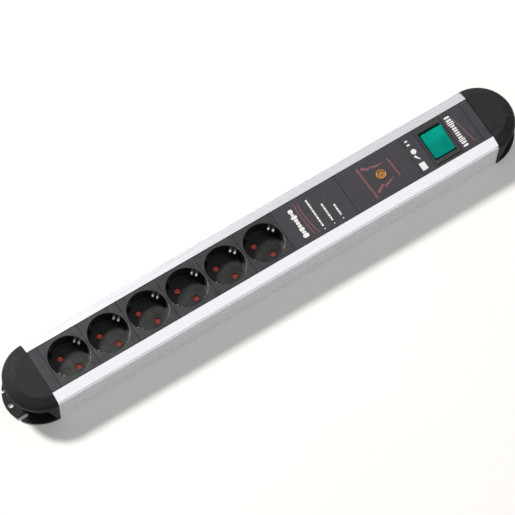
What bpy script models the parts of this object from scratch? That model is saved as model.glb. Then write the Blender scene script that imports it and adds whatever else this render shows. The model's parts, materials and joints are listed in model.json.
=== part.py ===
"""A desk power strip: an aluminium channel that holds six earthed sockets, a surge protection section
and a lit rocker switch, closed by two domed end caps with fixing feet.

X runs along the strip, with the switch at +X. Y runs across it. Z is up, and z = 0 is the surface it
stands on. The origin is in the middle of the underside. All sizes are in metres.
"""

from math import asin, cos, pi, radians, sin, sqrt

import bmesh
import bpy
from mathutils import Matrix, Vector

# ---------------------------------------------------------------- driving dimensions

GAP = 0.0003  # between pieces that touch
OVERCUT = 0.001  # cutters run this far past the surfaces they open

# Aluminium channel
CHANNEL_LENGTH = 0.482
CHANNEL_WIDTH = 0.068
CHANNEL_WALL = 0.0018
CHANNEL_FOOT = 0.0005  # the caps stand this much lower than the channel
CHANNEL_CORNER = 0.003
FACE_Z = 0.0405  # top face of every insert
LIP_RISE = 0.0007  # lips above the insert face
MOUTH_WIDTH = 0.0456  # between the two lips
SHOULDER_DROP = 0.0044  # outer edge of the sloped shoulder below the insert face
SHELF_TOP = 0.0346
SHELF_INNER = 0.024  # distance of the shelf's free edge from the middle
SHELF_THICKNESS = 0.0014
SHOULDER_EASE = 0.0010  # width of the rounding where the shoulder meets the side wall
SIDE_EASE = 0.0008  # and its height
LIP_EASE = 0.0005
PORT_Y = 0.029  # screw ports, beside each side wall
PORT_Z = 0.0125
PORT_OUTER = 0.0032
PORT_INNER = 0.00145
PORT_MOUTH = 0.0014

# Inserts: they slide in from the end, with a tongue between lip and shelf
INSERT_WIDTH = 0.0449
TONGUE_WIDTH = 0.051
TONGUE_TOP = 0.0378
TONGUE_FOOT = SHELF_TOP + GAP
PANEL_SKIN = 0.002
PANEL_RIB = 0.0015

# Sockets: 19 mm between pins, recess 17.5 mm deep, turned so that angled plugs lie side by side
SOCKET_COUNT = 6
SOCKET_PITCH = 0.042
RECESS_RADIUS = 0.0192
RECESS_DEPTH = 0.0175
RECESS_CHAMFER = 0.0007
CUP_WALL = 0.0014
CUP_FLOOR = 0.0014
PIN_OFFSET = 0.0095
PIN_HOLE_RADIUS = 0.00275
PIN_RADIUS = 0.0024
PIN_ANGLE = radians(-54.3)
EARTH_ANGLE = PIN_ANGLE + pi / 2
GUIDE_RIB_WIDTH = 0.0046
GUIDE_RIB_INNER = 0.0175
GUIDE_RIB_DROP = 0.003  # below the insert face
CLIP_SLOT_WIDTH = 0.006
CLIP_SLOT_DROP = 0.0029
CLIP_SETBACK = 0.0006  # behind the recess wall
CLIP_WIDTH = 0.005
CLIP_SHEET = 0.0007
CLIP_BENDS = [  # how far the leaf leans into the recess, at a height above the recess floor
    (0.0, 0.004),
    (0.0009, 0.006),
    (0.0025, 0.0092),
    (0.0014, 0.0127),
    (0.0003, 0.0141),
]

# Shutters, under the floor of each recess
SHUTTER_TOP = FACE_Z - RECESS_DEPTH - CUP_FLOOR - GAP
SHUTTER_THICKNESS = 0.0017
SHUTTER_HALF_WIDTH = 0.0042
POST_RADIUS = 0.0016
POST_FOOT = 0.0162
SPRING_COIL_RADIUS = 0.0026
SPRING_WIRE_RADIUS = 0.00028
SPRING_TURNS = 1.5
SPRING_STEPS = 18

# Busbars and the tray under them
BAR_FOOT = 0.007
BAR_TOP = 0.0145
BAR_SHEET = 0.0007
BAR_END = 0.099  # where the bars reach the circuit board
BAR_INSET = 0.006  # between the bars' other end and the socket row's end
EARTH_FOOT = 0.0152
EARTH_HALF_WIDTH = 0.0022
TRAY_FOOT = CHANNEL_FOOT + CHANNEL_WALL + GAP
TRAY_FLOOR = 0.0011
TRAY_HALF_WIDTH = 0.0175
TRAY_TOP = 0.0199
TRAY_WALL = 0.0012
RIDGE_HALF_WIDTH = 0.0005

# Other inserts, from left to right after the sockets
END_SPACER_LENGTH = 0.010
STATUS_LENGTH = 0.070
SURGE_LENGTH = 0.0725
LABEL_LENGTH = 0.015
SWITCH_LENGTH = 0.030
BLANK_LENGTH = 0.0235

# Surge protection
LENS_FROM_LEFT = 0.039
LENS_RADIUS = 0.0054
LENS_STEM = 0.0044
LENS_RISE = 0.0011
LENS_STEM_DROP = 0.0045  # the stem's end below the insert face
LENS_EASE = 0.0006
LENS_RIM_WIDTH = 0.0011
LEG_RADIUS = 0.0018
LEG_INSET = 0.004
LEG_Y = 0.016
BOARD_LENGTH = 0.062
BOARD_WIDTH = 0.040
BOARD_THICKNESS = 0.0016
BOARD_Z = 0.0150
VARISTOR_RADIUS = 0.0068
VARISTOR_THICKNESS = 0.0048
VARISTOR_PITCH = 0.010
VARISTOR_INSET = 0.012  # from the board's left end
VARISTOR_LIFT = 0.001
VARISTOR_FOOT_HALF = 0.0022
VARISTOR_OPENING = radians(56)  # of the disc, where its foot joins
FUSE_INSET = 0.014  # from the board's right end
FUSE_RADIUS = 0.0022
FUSE_HALF_LENGTH = 0.0075
LAMP_RADIUS = 0.0024
LAMP_TIP_RADIUS = 0.0012
LAMP_TOP = 0.0353
LAMP_SHOULDER = 0.002  # height of a lamp's narrow foot

# Switch
BEZEL_LENGTH = 0.0284
BEZEL_WIDTH = 0.0398
BEZEL_RISE = 0.0011
HOUSING_LENGTH = 0.0258
HOUSING_WIDTH = 0.034
HOUSING_FOOT = 0.018
HOUSING_FLOOR = 0.0016
HOUSING_END_WALL = 0.002
ROCKER_LENGTH = 0.0226  # along X
ROCKER_HALF_SPAN = 0.0133  # along Y
ROCKER_PIVOT_Z = 0.0355
ROCKER_TILT = radians(7)
ROCKER_MIDDLE_TOP = 0.0064  # heights above the pivot
ROCKER_END_TOP = 0.0078
ROCKER_SKIRT = [(0.0006, 0.0025), (0.0, -0.0015)]  # (beyond the half span, height) down the end
ROCKER_KEEL = [(0.0070, -0.0040), (0.0030, -0.0065)]
ROCKER_EASE = 0.0008
LAMP_POCKET_X = 0.003
LAMP_POCKET_Y = 0.006
LAMP_POCKET_TOP = 0.0045
BORE_TOP = 0.002  # top of the plunger bores above the pivot
TRUNNION_RADIUS = 0.0015
TRUNNION_REACH = 0.0011  # beyond the rocker's sides
POLE_OFFSET = 0.0055
LEVER_PIVOT_Z = 0.0224
LEVER_TILT = radians(6)
LEVER_HALF_LENGTH = 0.0076
LEVER_WIDTH = 0.0036
LEVER_THICKNESS = 0.0009
TAB_WIDTH = 0.0048
TAB_THICKNESS = 0.0008
TAB_FOOT = 0.012
CONTACT_Y = 0.0065
PLUNGER_RADIUS = 0.0014
PLUNGER_REACH = 0.0123
PLUNGER_TOP = 0.0015
PLUNGER_TIP = [(0.0006, 0.0), (0.0012, 0.0005)]  # (radius, height above the tip)
PLUNGER_TAPER = 0.0014
SWITCH_LAMP_RADIUS = 0.0019
SWITCH_LAMP_TIP_RADIUS = 0.0010
SWITCH_LAMP_TOP = 0.0365

# End caps
CAP_PROUD = 0.0008  # caps stand out this much around the channel
CAP_REACH = 0.0347
CAP_HALF_WIDTH = CHANNEL_WIDTH / 2 + CAP_PROUD
CAP_TOP = FACE_Z + 0.001
DOME_FOOT = 0.0294
DOME_RIM = [  # inset from the cap's end, inset from its side, height above the dome's foot
    (0.0022, 0.0010, 0.0),
    (0.0003, 0.0, 0.0008),
    (0.0, 0.0, 0.0036),
    (0.0011, 0.0, 0.0062),
    (0.0025, 0.0009, 0.0076),
]
PLATEAU_REACH = 0.0243
PLATEAU_HALF_WIDTH = 0.0246
PLATEAU_EASE = 0.0013
PLATEAU_RISE = 0.0006
HUB_RADIUS = 0.026
CAP_WALL = 0.0024
FLANGE_REACH = 0.0378
FLANGE_THICKNESS = 0.0032
FLANGE_HOLE_X = 0.033
FLANGE_HOLE_RADIUS = 0.00275
FLANGE_SLOT_Y = 0.0156
FLANGE_SLOT_WIDTH = 0.0036
FLANGE_SLOT_END = 0.0235
CHEEK_FOOT = 0.002  # thickness of the cap's end wall at the bottom
CHEEK_TOP = 0.0106  # and just under the dome
SCREW_HEAD_RADIUS = 0.003
SCREW_HEAD_HEIGHT = 0.0021
SCREW_SEAT = 0.0026
SCREW_LENGTH = 0.013
SCREW_TIP = 0.001
SEAT_END = 0.012  # the seat's counterbore runs out through the sloped cheek
CLEAR = 0.05  # further out than any part of a cap
JOINT_TRIM = 0.001  # the cap's blanks overrun the joint and are trimmed flat
BLEND = 0.0001  # steps this small keep the faces of joined blanks apart

# Cable inlet
INLET_Z = 0.017
INLET_BORE = 0.0042
INLET_BODY = 0.006
INLET_COLLAR = 0.0078
INLET_BOSS = 0.009
INLET_BOSS_START = 0.020
INLET_BORE_START = 0.015
GLAND_START = 0.0215
GLAND_END = 0.0330
COLLAR_LENGTH = 0.002
NECK_EASE = 0.001

# Wires
WIRE_RADIUS = 0.0013
WIRE_START = 0.012  # where the cores begin, beyond the channel's end
WIRE_LOW = 0.0054  # height of the cores on the channel's floor

ROUND = 40  # sides of a large round shape
SMALL_ROUND = 16

# ---------------------------------------------------------------- derived places

CHANNEL_END = CHANNEL_LENGTH / 2
SOCKET_ROW_START = END_SPACER_LENGTH - CHANNEL_END
SOCKET_ROW_END = SOCKET_ROW_START + SOCKET_COUNT * SOCKET_PITCH
SOCKET_CENTRES = [SOCKET_ROW_START + (i + 0.5) * SOCKET_PITCH for i in range(SOCKET_COUNT)]
STATUS_START = SOCKET_ROW_END
SURGE_START = STATUS_START + STATUS_LENGTH
LABEL_START = SURGE_START + SURGE_LENGTH
SWITCH_START = LABEL_START + LABEL_LENGTH
BLANK_START = SWITCH_START + SWITCH_LENGTH
RIGHT_SPACER_START = BLANK_START + BLANK_LENGTH
SWITCH_X = SWITCH_START + SWITCH_LENGTH / 2
LENS_X = SURGE_START + LENS_FROM_LEFT
RECESS_FLOOR_Z = FACE_Z - RECESS_DEPTH
CUP_FOOT = RECESS_FLOOR_Z - CUP_FLOOR
BOARD_START = BAR_END + 0.002
BOARD_END = BOARD_START + BOARD_LENGTH

# ---------------------------------------------------------------- helpers


def material(name, colour, roughness, metallic=0.0):
    made = bpy.data.materials.new(name)
    made.use_nodes = True
    shader = made.node_tree.nodes["Principled BSDF"]
    shader.inputs["Base Color"].default_value = (*colour, 1)
    shader.inputs["Roughness"].default_value = roughness
    shader.inputs["Metallic"].default_value = metallic
    return made


def circle(centre, radius, count, start=0.0, end=2 * pi):
    """Points around a circle; a full turn leaves out the repeated last point."""
    whole = abs(end - start - 2 * pi) < 1e-9
    steps = count if whole else count - 1
    turns = [start + (end - start) * i / steps for i in range(count)]
    return [(centre[0] + radius * cos(a), centre[1] + radius * sin(a)) for a in turns]


def closed_mesh(name, points, faces):
    """A mesh of these faces, with every face turned outwards."""
    mesh = bpy.data.meshes.new(name)
    mesh.from_pydata(points, [], faces)
    work = bmesh.new()
    work.from_mesh(mesh)
    bmesh.ops.recalc_face_normals(work, faces=work.faces)
    work.to_mesh(mesh)
    work.free()
    return mesh


def rings_mesh(name, rings, capped=True):
    """A closed skin over a row of rings that all have the same number of points."""
    count = len(rings[0])
    faces = []
    for r in range(len(rings) - 1):
        for i in range(count):
            j = (i + 1) % count
            faces.append((r * count + i, r * count + j, (r + 1) * count + j, (r + 1) * count + i))
    if capped:
        faces.append(tuple(range(count)))
        faces.append(tuple((len(rings) - 1) * count + i for i in range(count)))
    return closed_mesh(name, [point for ring in rings for point in ring], faces)


def prism(outline, low, high, axis="Z"):
    """An outline drawn across an axis and extruded along it: (y, z) across X, (x, z) across Y."""
    place = {
        "X": lambda a, b, t: (t, a, b),
        "Y": lambda a, b, t: (a, t, b),
        "Z": lambda a, b, t: (a, b, t),
    }[axis]
    return rings_mesh("prism", [[place(a, b, t) for a, b in outline] for t in (low, high)])


def box(x, y, z):
    """A box between pairs of limits."""
    return prism([(x[0], y[0]), (x[1], y[0]), (x[1], y[1]), (x[0], y[1])], *z)


def rod(radius, low, high, centre=(0.0, 0.0), axis="Z", sides=SMALL_ROUND):
    return prism(circle(centre, radius, sides), low, high, axis)


def turned(profile, sides=ROUND, centre=(0.0, 0.0)):
    """A solid turned about a vertical axis from (radius, z) pairs, closed by flat ends."""
    rings = [[(*point, z) for point in circle(centre, radius, sides)] for radius, z in profile]
    return rings_mesh("turned", rings)


def tube(profile, sides=SMALL_ROUND):
    """A turned ring: its (radius, z) profile is a closed loop around the hole."""
    rings = [[(*point, z) for point in circle((0, 0), radius, sides)] for radius, z in profile]
    return rings_mesh("tube", rings + rings[:1], capped=False)


def moved(mesh, matrix):
    mesh.transform(matrix)
    return mesh


def turn_z(angle):
    return Matrix.Rotation(angle, 4, "Z")


def shift(x=0.0, y=0.0, z=0.0):
    return Matrix.Translation((x, y, z))


def shaped(base, *steps):
    """The base mesh after a row of ("cut" or "add", mesh) steps."""
    names = {"cut": "DIFFERENCE", "add": "UNION"}
    scene = bpy.context.scene
    body = bpy.data.objects.new("body", base)
    scene.collection.objects.link(body)
    tools = []
    for operation, mesh in steps:
        tool = bpy.data.objects.new("tool", mesh)
        scene.collection.objects.link(tool)
        tools.append(tool)
        boolean = body.modifiers.new(operation, "BOOLEAN")
        boolean.operation = names[operation]
        boolean.solver = "EXACT"
        boolean.object = tool
    graph = bpy.context.evaluated_depsgraph_get()
    result = bpy.data.meshes.new_from_object(body.evaluated_get(graph))
    for used in [body, *tools]:
        bpy.data.objects.remove(used)
    return result


def piece(name, mesh, surface, origin=(0.0, 0.0, 0.0), rotation=(0.0, 0.0, 0.0)):
    """A named sub-part whose mesh is drawn around its own origin."""
    mesh.materials.clear()
    mesh.materials.append(surface)
    mesh.shade_smooth()
    mesh.set_sharp_from_angle(angle=radians(32))
    made = bpy.data.objects.new(name, mesh)
    made.location = origin
    made.rotation_euler = rotation
    bpy.context.scene.collection.objects.link(made)
    return made


# ---------------------------------------------------------------- channel and inserts


def port_outline():
    """The open screw port on the +Y wall, from its upper root to its lower root."""
    root = 0.65 * PORT_OUTER
    wall_y = CHANNEL_WIDTH / 2 - CHANNEL_WALL
    root_angle = asin(root / PORT_OUTER)
    outer_gap = asin(PORT_MOUTH / 2 / PORT_OUTER)
    inner_gap = asin(PORT_MOUTH / 2 / PORT_INNER)
    centre = (PORT_Y, PORT_Z)
    return [
        (wall_y, PORT_Z + root),
        *circle(centre, PORT_OUTER, 7, root_angle, pi - outer_gap),
        *circle(centre, PORT_INNER, 9, pi - inner_gap, inner_gap - pi),
        *circle(centre, PORT_OUTER, 7, outer_gap - pi, -root_angle),
        (wall_y, PORT_Z - root),
    ]


def channel_mesh():
    half = CHANNEL_WIDTH / 2
    wall_y = half - CHANNEL_WALL
    mouth = MOUTH_WIDTH / 2
    lip_top = FACE_Z + LIP_RISE
    shoulder = FACE_Z - SHOULDER_DROP
    slope = (lip_top - shoulder) / (half - mouth)
    under = CHANNEL_WALL * sqrt(1 + slope * slope)
    floor = CHANNEL_FOOT + CHANNEL_WALL
    corner = (half - CHANNEL_CORNER, CHANNEL_FOOT + CHANNEL_CORNER)
    inner_corner = CHANNEL_CORNER - CHANNEL_WALL
    right = [
        *circle(corner, CHANNEL_CORNER, 5, -pi / 2, 0),
        (half, shoulder - SIDE_EASE),
        (half - 0.3 * SHOULDER_EASE, shoulder - SIDE_EASE / 8),
        (half - SHOULDER_EASE, shoulder + SHOULDER_EASE * slope),
        (mouth + LIP_EASE, lip_top - LIP_EASE * slope),
        (mouth, lip_top - 1.2 * LIP_EASE),
        (mouth, lip_top - under),
        (wall_y, lip_top - under - slope * (wall_y - mouth)),
        (wall_y, SHELF_TOP),
        (SHELF_INNER, SHELF_TOP),
        (SHELF_INNER, SHELF_TOP - SHELF_THICKNESS),
        (wall_y, SHELF_TOP - SHELF_THICKNESS),
        *port_outline(),
        *circle((wall_y - inner_corner, floor + inner_corner), inner_corner, 3, 0, -pi / 2),
    ]
    left = [(-y, z) for y, z in reversed(right)]
    return prism(right + left, -CHANNEL_END, CHANNEL_END, "X")


def insert_mesh(length):
    """A blank insert: a face with a rib and a tongue along both sides, drawn from x = 0."""
    face = INSERT_WIDTH / 2
    rib = face - PANEL_RIB
    tongue = TONGUE_WIDTH / 2
    right = [
        (rib, FACE_Z - PANEL_SKIN),
        (rib, TONGUE_FOOT),
        (tongue, TONGUE_FOOT),
        (tongue, TONGUE_TOP),
        (face, TONGUE_TOP),
        (face, FACE_Z),
    ]
    left = [(-y, z) for y, z in reversed(right)]
    return prism(right + left, GAP / 2, length - GAP / 2, "X")


# ---------------------------------------------------------------- sockets


def radial_box(angle, radii, width, heights):
    """A box that lies along a radius."""
    return moved(box(radii, (-width / 2, width / 2), heights), turn_z(angle))


def socket_mesh():
    half = SOCKET_PITCH / 2
    rim = RECESS_RADIUS + RECESS_CHAMFER
    above = FACE_Z + 2 * OVERCUT
    cup_radius = RECESS_RADIUS + CUP_WALL
    cup = turned([(cup_radius, CUP_FOOT), (cup_radius, FACE_Z - PANEL_SKIN / 2)])
    recess = turned(
        [
            (RECESS_RADIUS, RECESS_FLOOR_Z),
            (RECESS_RADIUS, FACE_Z - RECESS_CHAMFER),
            (rim, FACE_Z),
            (rim, above),
        ]
    )
    steps = [("add", cup), ("cut", recess)]
    for turn in (0, pi):
        ribs = (GUIDE_RIB_INNER, RECESS_RADIUS + CUP_WALL / 2)
        rib_heights = (RECESS_FLOOR_Z - CUP_FLOOR / 2, FACE_Z - GUIDE_RIB_DROP)
        steps.append(("add", radial_box(PIN_ANGLE + turn, ribs, GUIDE_RIB_WIDTH, rib_heights)))
    for turn in (0, pi):
        slot = (RECESS_RADIUS - CLIP_SETBACK, RECESS_RADIUS + 2 * CUP_WALL)
        slot_heights = (CUP_FOOT - OVERCUT, FACE_Z - CLIP_SLOT_DROP)
        steps.append(("cut", radial_box(EARTH_ANGLE + turn, slot, CLIP_SLOT_WIDTH, slot_heights)))
        pin = (PIN_OFFSET * cos(PIN_ANGLE + turn), PIN_OFFSET * sin(PIN_ANGLE + turn))
        steps.append(("cut", rod(PIN_HOLE_RADIUS, CUP_FOOT - OVERCUT, RECESS_FLOOR_Z + OVERCUT, pin)))
    steps.append(("add", rod(POST_RADIUS, POST_FOOT, CUP_FOOT + CUP_FLOOR / 2)))
    plate = moved(insert_mesh(SOCKET_PITCH), shift(-half))
    return shaped(plate, *steps)


def shutter_mesh():
    """A two-lobed disc that closes both pin holes, with a hole for its post."""
    lobe = PIN_OFFSET
    outline = circle((lobe, 0), SHUTTER_HALF_WIDTH, 9, -pi / 2, pi / 2)
    outline += circle((-lobe, 0), SHUTTER_HALF_WIDTH, 9, pi / 2, 3 * pi / 2)
    heights = (SHUTTER_TOP - SHUTTER_THICKNESS, SHUTTER_TOP)
    blank = prism(outline, *heights)
    hole = rod(POST_RADIUS + GAP, heights[0] - OVERCUT, heights[1] + OVERCUT)
    return shaped(blank, ("cut", hole))


def spring_mesh():
    """One and a half turns of wire around the post, under the shutter."""
    low = POST_FOOT + SPRING_WIRE_RADIUS + GAP / 3
    high = SHUTTER_TOP - SHUTTER_THICKNESS - GAP - SPRING_WIRE_RADIUS
    rings = []
    for i in range(SPRING_STEPS + 1):
        angle = 2 * pi * SPRING_TURNS * i / SPRING_STEPS
        z = low + (high - low) * i / SPRING_STEPS
        ring = circle((SPRING_COIL_RADIUS, z), SPRING_WIRE_RADIUS, 5)
        rings.append([(r * cos(angle), r * sin(angle), height) for r, height in ring])
    return rings_mesh("spring", rings)


def add_sockets(plastic, shutter_plastic, spring_steel):
    body = socket_mesh()
    shutter = moved(shutter_mesh(), turn_z(PIN_ANGLE))
    spring = spring_mesh()
    for number, x in enumerate(SOCKET_CENTRES, 1):
        piece(f"socket_body_{number}", body, plastic, (x, 0, 0))
        piece(f"socket_shutter_{number}", shutter, shutter_plastic, (x, 0, 0))
        piece(f"shutter_spring_{number}", spring, spring_steel, (x, 0, 0))


# ---------------------------------------------------------------- busbars


def contact_bar_mesh(centres, end_low, end_high):
    """A strip that folds round every live pin. Its outline is drawn from above."""
    pin_x = -PIN_OFFSET * cos(PIN_ANGLE)
    pin_y = -PIN_OFFSET * sin(PIN_ANGLE)
    outer = pin_y + PIN_RADIUS
    inner = pin_y - PIN_RADIUS
    fold = 2 * PIN_RADIUS
    back = outer + BAR_SHEET
    outline = [(end_high, outer), (end_high, back), (end_low, back), (end_low, outer)]
    for centre in centres:
        x = centre + pin_x
        outline += [
            (x + fold, outer),
            (x + fold, inner),
            (x - fold, inner),
            (x - fold, inner - BAR_SHEET),
            (x + fold + BAR_SHEET, inner - BAR_SHEET),
            (x + fold + BAR_SHEET, outer),
        ]
    return prism(outline, BAR_FOOT, BAR_TOP)


def clip_mesh():
    """A springy leaf that rises beside the recess and bulges into it; it points along +X."""
    wall = RECESS_RADIUS + CLIP_SETBACK
    path = [(wall, EARTH_FOOT + BAR_SHEET / 3)]
    path += [(wall - lean, RECESS_FLOOR_Z + height) for lean, height in CLIP_BENDS]
    back = [(r + CLIP_SHEET, z) for r, z in reversed(path)]
    return prism(path + back, -CLIP_WIDTH / 2, CLIP_WIDTH / 2, "Y")


def earth_bar_mesh():
    top = EARTH_FOOT + BAR_SHEET
    start = SOCKET_CENTRES[0] - EARTH_HALF_WIDTH
    strip = box((start, BAR_END), (-EARTH_HALF_WIDTH, EARTH_HALF_WIDTH), (EARTH_FOOT, top))
    reach = RECESS_RADIUS + CLIP_SETBACK + CLIP_SHEET / 2
    proud = BAR_SHEET / 7
    steps = []
    for x in SOCKET_CENTRES:
        heights = (EARTH_FOOT - proud, top + proud)
        yoke = radial_box(EARTH_ANGLE, (-reach, reach), CLIP_WIDTH - 2 * BAR_SHEET, heights)
        steps.append(("add", moved(yoke, shift(x))))
        for turn in (0, pi):
            steps.append(("add", moved(clip_mesh(), shift(x) @ turn_z(EARTH_ANGLE + turn))))
    return shaped(strip, *steps)


def tray_mesh():
    """The insulating tray, with a ridge under each bar."""
    floor = TRAY_FOOT + TRAY_FLOOR
    bar_y = -PIN_OFFSET * sin(PIN_ANGLE) + PIN_RADIUS + BAR_SHEET / 2
    ridge = RIDGE_HALF_WIDTH
    inside = TRAY_HALF_WIDTH - TRAY_WALL
    right = [
        (TRAY_HALF_WIDTH, TRAY_FOOT),
        (TRAY_HALF_WIDTH, TRAY_TOP),
        (inside, TRAY_TOP),
        (inside, floor),
        (bar_y + ridge, floor),
        (bar_y + ridge, BAR_FOOT - GAP),
        (bar_y - ridge, BAR_FOOT - GAP),
        (bar_y - ridge, floor),
        (2 * ridge, floor),
        (2 * ridge, EARTH_FOOT - GAP),
    ]
    left = [(-y, z) for y, z in reversed(right)]
    return prism(right + left, SOCKET_ROW_START + GAP, SOCKET_ROW_END - GAP, "X")


def add_busbars(brass, steel, plastic):
    live = contact_bar_mesh(SOCKET_CENTRES, SOCKET_ROW_START + BAR_INSET, BAR_END)
    mirrored = [-x for x in reversed(SOCKET_CENTRES)]
    neutral = contact_bar_mesh(mirrored, -BAR_END, -SOCKET_ROW_START - BAR_INSET)
    piece("live_busbar", live, brass)
    piece("neutral_busbar", moved(neutral, turn_z(pi)), brass)
    piece("earth_busbar", earth_bar_mesh(), steel)
    piece("busbar_tray", tray_mesh(), plastic)


# ---------------------------------------------------------------- surge protection


def surge_panel_mesh():
    """The blank insert with a hole for the lens and four legs that hold the board."""
    bore = rod(LENS_STEM + GAP, FACE_Z - PANEL_SKIN - OVERCUT, FACE_Z + OVERCUT, (LENS_FROM_LEFT, 0))
    steps = [("cut", bore)]
    top = BOARD_Z + BOARD_THICKNESS + GAP
    for x in (LEG_INSET, BOARD_END - SURGE_START - LEG_INSET):
        for y in (-LEG_Y, LEG_Y):
            steps.append(("add", rod(LEG_RADIUS, top, FACE_Z - PANEL_SKIN / 2, (x, y), sides=8)))
    return shaped(insert_mesh(SURGE_LENGTH), *steps)


def lens_mesh():
    """A lamp lens with a raised ring, a hollow middle and a stem."""
    seat = FACE_Z + GAP
    top = FACE_Z + LENS_RISE
    return turned(
        [
            (LENS_STEM, FACE_Z - LENS_STEM_DROP),
            (LENS_STEM, seat),
            (LENS_RADIUS, seat),
            (LENS_RADIUS, top - LENS_EASE / 2),
            (LENS_RADIUS - LENS_EASE, top),
            (LENS_RADIUS - LENS_EASE - LENS_RIM_WIDTH, top),
            (LENS_RADIUS - 2 * LENS_EASE - LENS_RIM_WIDTH, top - LENS_EASE),
        ],
        24,
    )


def lamp_mesh(radius, tip_radius, low, high):
    """A small glass lamp that stands on its narrow foot."""
    taper = 1.5 * (radius - tip_radius)
    profile = [(tip_radius, low), (radius, low + LAMP_SHOULDER), (radius, high - taper), (tip_radius, high)]
    return turned(profile, 12)


def varistor_mesh():
    """A coated disc on edge, with a narrow foot; its axis is Y."""
    foot = BOARD_Z + BOARD_THICKNESS + GAP
    centre = (0, foot + VARISTOR_LIFT + VARISTOR_RADIUS)
    start = VARISTOR_OPENING / 2 - pi / 2
    outline = circle(centre, VARISTOR_RADIUS, 17, start, pi - start)
    outline += [(-VARISTOR_FOOT_HALF, foot), (VARISTOR_FOOT_HALF, foot)]
    half = VARISTOR_THICKNESS / 2
    return prism(outline, -half, half, "Y")


def add_surge_section(plastic, amber, board, ceramic, glass, steel):
    piece("surge_panel", surge_panel_mesh(), plastic, (SURGE_START, 0, 0))
    piece("indicator_lens", lens_mesh(), amber, (LENS_X, 0, 0))
    board_y = (-BOARD_WIDTH / 2, BOARD_WIDTH / 2)
    plate = box((BOARD_START, BOARD_END), board_y, (BOARD_Z, BOARD_Z + BOARD_THICKNESS))
    piece("surge_circuit_board", plate, board)
    top = BOARD_Z + BOARD_THICKNESS + GAP
    for number in range(3):
        x = BOARD_START + VARISTOR_INSET
        y = (number - 1) * VARISTOR_PITCH
        piece(f"varistor_{number + 1}", varistor_mesh(), ceramic, (x, y, 0))
    lamp = lamp_mesh(LAMP_RADIUS, LAMP_TIP_RADIUS, top, LAMP_TOP)
    piece("indicator_lamp", lamp, glass, (LENS_X, 0, 0))
    fuse_axis = (BOARD_END - FUSE_INSET, top + FUSE_RADIUS)
    fuse = rod(FUSE_RADIUS, -FUSE_HALF_LENGTH, FUSE_HALF_LENGTH, fuse_axis, "Y", 12)
    piece("thermal_fuse", fuse, steel)


# ---------------------------------------------------------------- switch


def housing_mesh():
    """The switch housing around the switch's middle: an insert with a raised bezel and a deep box."""
    bezel_top = FACE_Z + BEZEL_RISE
    well_x = ROCKER_LENGTH / 2 + GAP
    well_y = HOUSING_WIDTH / 2 - HOUSING_END_WALL
    floor = HOUSING_FOOT + HOUSING_FLOOR
    bezel_x = (-BEZEL_LENGTH / 2, BEZEL_LENGTH / 2)
    bezel_y = (-BEZEL_WIDTH / 2, BEZEL_WIDTH / 2)
    shell_x = (-HOUSING_LENGTH / 2, HOUSING_LENGTH / 2)
    shell_y = (-HOUSING_WIDTH / 2, HOUSING_WIDTH / 2)
    pivot = (0, ROCKER_PIVOT_Z)
    steps = [
        ("add", box(bezel_x, bezel_y, (FACE_Z - PANEL_SKIN / 2, bezel_top))),
        ("add", box(shell_x, shell_y, (HOUSING_FOOT, FACE_Z - PANEL_SKIN / 2))),
        ("cut", box((-well_x, well_x), (-well_y, well_y), (floor, bezel_top + OVERCUT))),
        ("cut", rod(TRUNNION_RADIUS + GAP, -SWITCH_LENGTH, SWITCH_LENGTH, pivot, "X")),
    ]
    for x in (-POLE_OFFSET, POLE_OFFSET):
        for y in (0, CONTACT_Y):
            hole_x = (x - TAB_THICKNESS / 2 - GAP, x + TAB_THICKNESS / 2 + GAP)
            hole_y = (y - TAB_WIDTH / 2 - GAP, y + TAB_WIDTH / 2 + GAP)
            steps.append(("cut", box(hole_x, hole_y, (HOUSING_FOOT - OVERCUT, floor + OVERCUT))))
    plate = moved(insert_mesh(SWITCH_LENGTH), shift(-SWITCH_LENGTH / 2))
    return shaped(plate, *steps)


def rocker_mesh():
    """The rocker around its pivot, with trunnions, a lamp pocket and two plunger bores."""
    span = ROCKER_HALF_SPAN
    right = [
        (0, ROCKER_MIDDLE_TOP),
        (span - ROCKER_EASE, ROCKER_END_TOP),
        (span, ROCKER_END_TOP - 0.875 * ROCKER_EASE),
        *[(span + out, z) for out, z in ROCKER_SKIRT],
        *ROCKER_KEEL,
    ]
    left = [(-y, z) for y, z in reversed(right[1:])]
    half = ROCKER_LENGTH / 2
    trunnion = half + TRUNNION_REACH
    pocket_x = (-LAMP_POCKET_X, LAMP_POCKET_X)
    pocket_y = (-LAMP_POCKET_Y, LAMP_POCKET_Y)
    below = -0.009
    steps = [
        ("add", rod(TRUNNION_RADIUS, -trunnion, trunnion, axis="X", sides=12)),
        ("cut", box(pocket_x, pocket_y, (below, LAMP_POCKET_TOP))),
    ]
    for x in (-POLE_OFFSET, POLE_OFFSET):
        steps.append(("cut", rod(PLUNGER_RADIUS + GAP, below, BORE_TOP, (x, 0), sides=12)))
    return shaped(prism(right + left, -half, half, "X"), *steps)


def plunger_mesh():
    tip = -PLUNGER_REACH
    profile = [(radius, tip + height) for radius, height in PLUNGER_TIP]
    profile += [(PLUNGER_RADIUS, tip + PLUNGER_TAPER), (PLUNGER_RADIUS, PLUNGER_TOP)]
    return turned(profile, 12)


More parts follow.
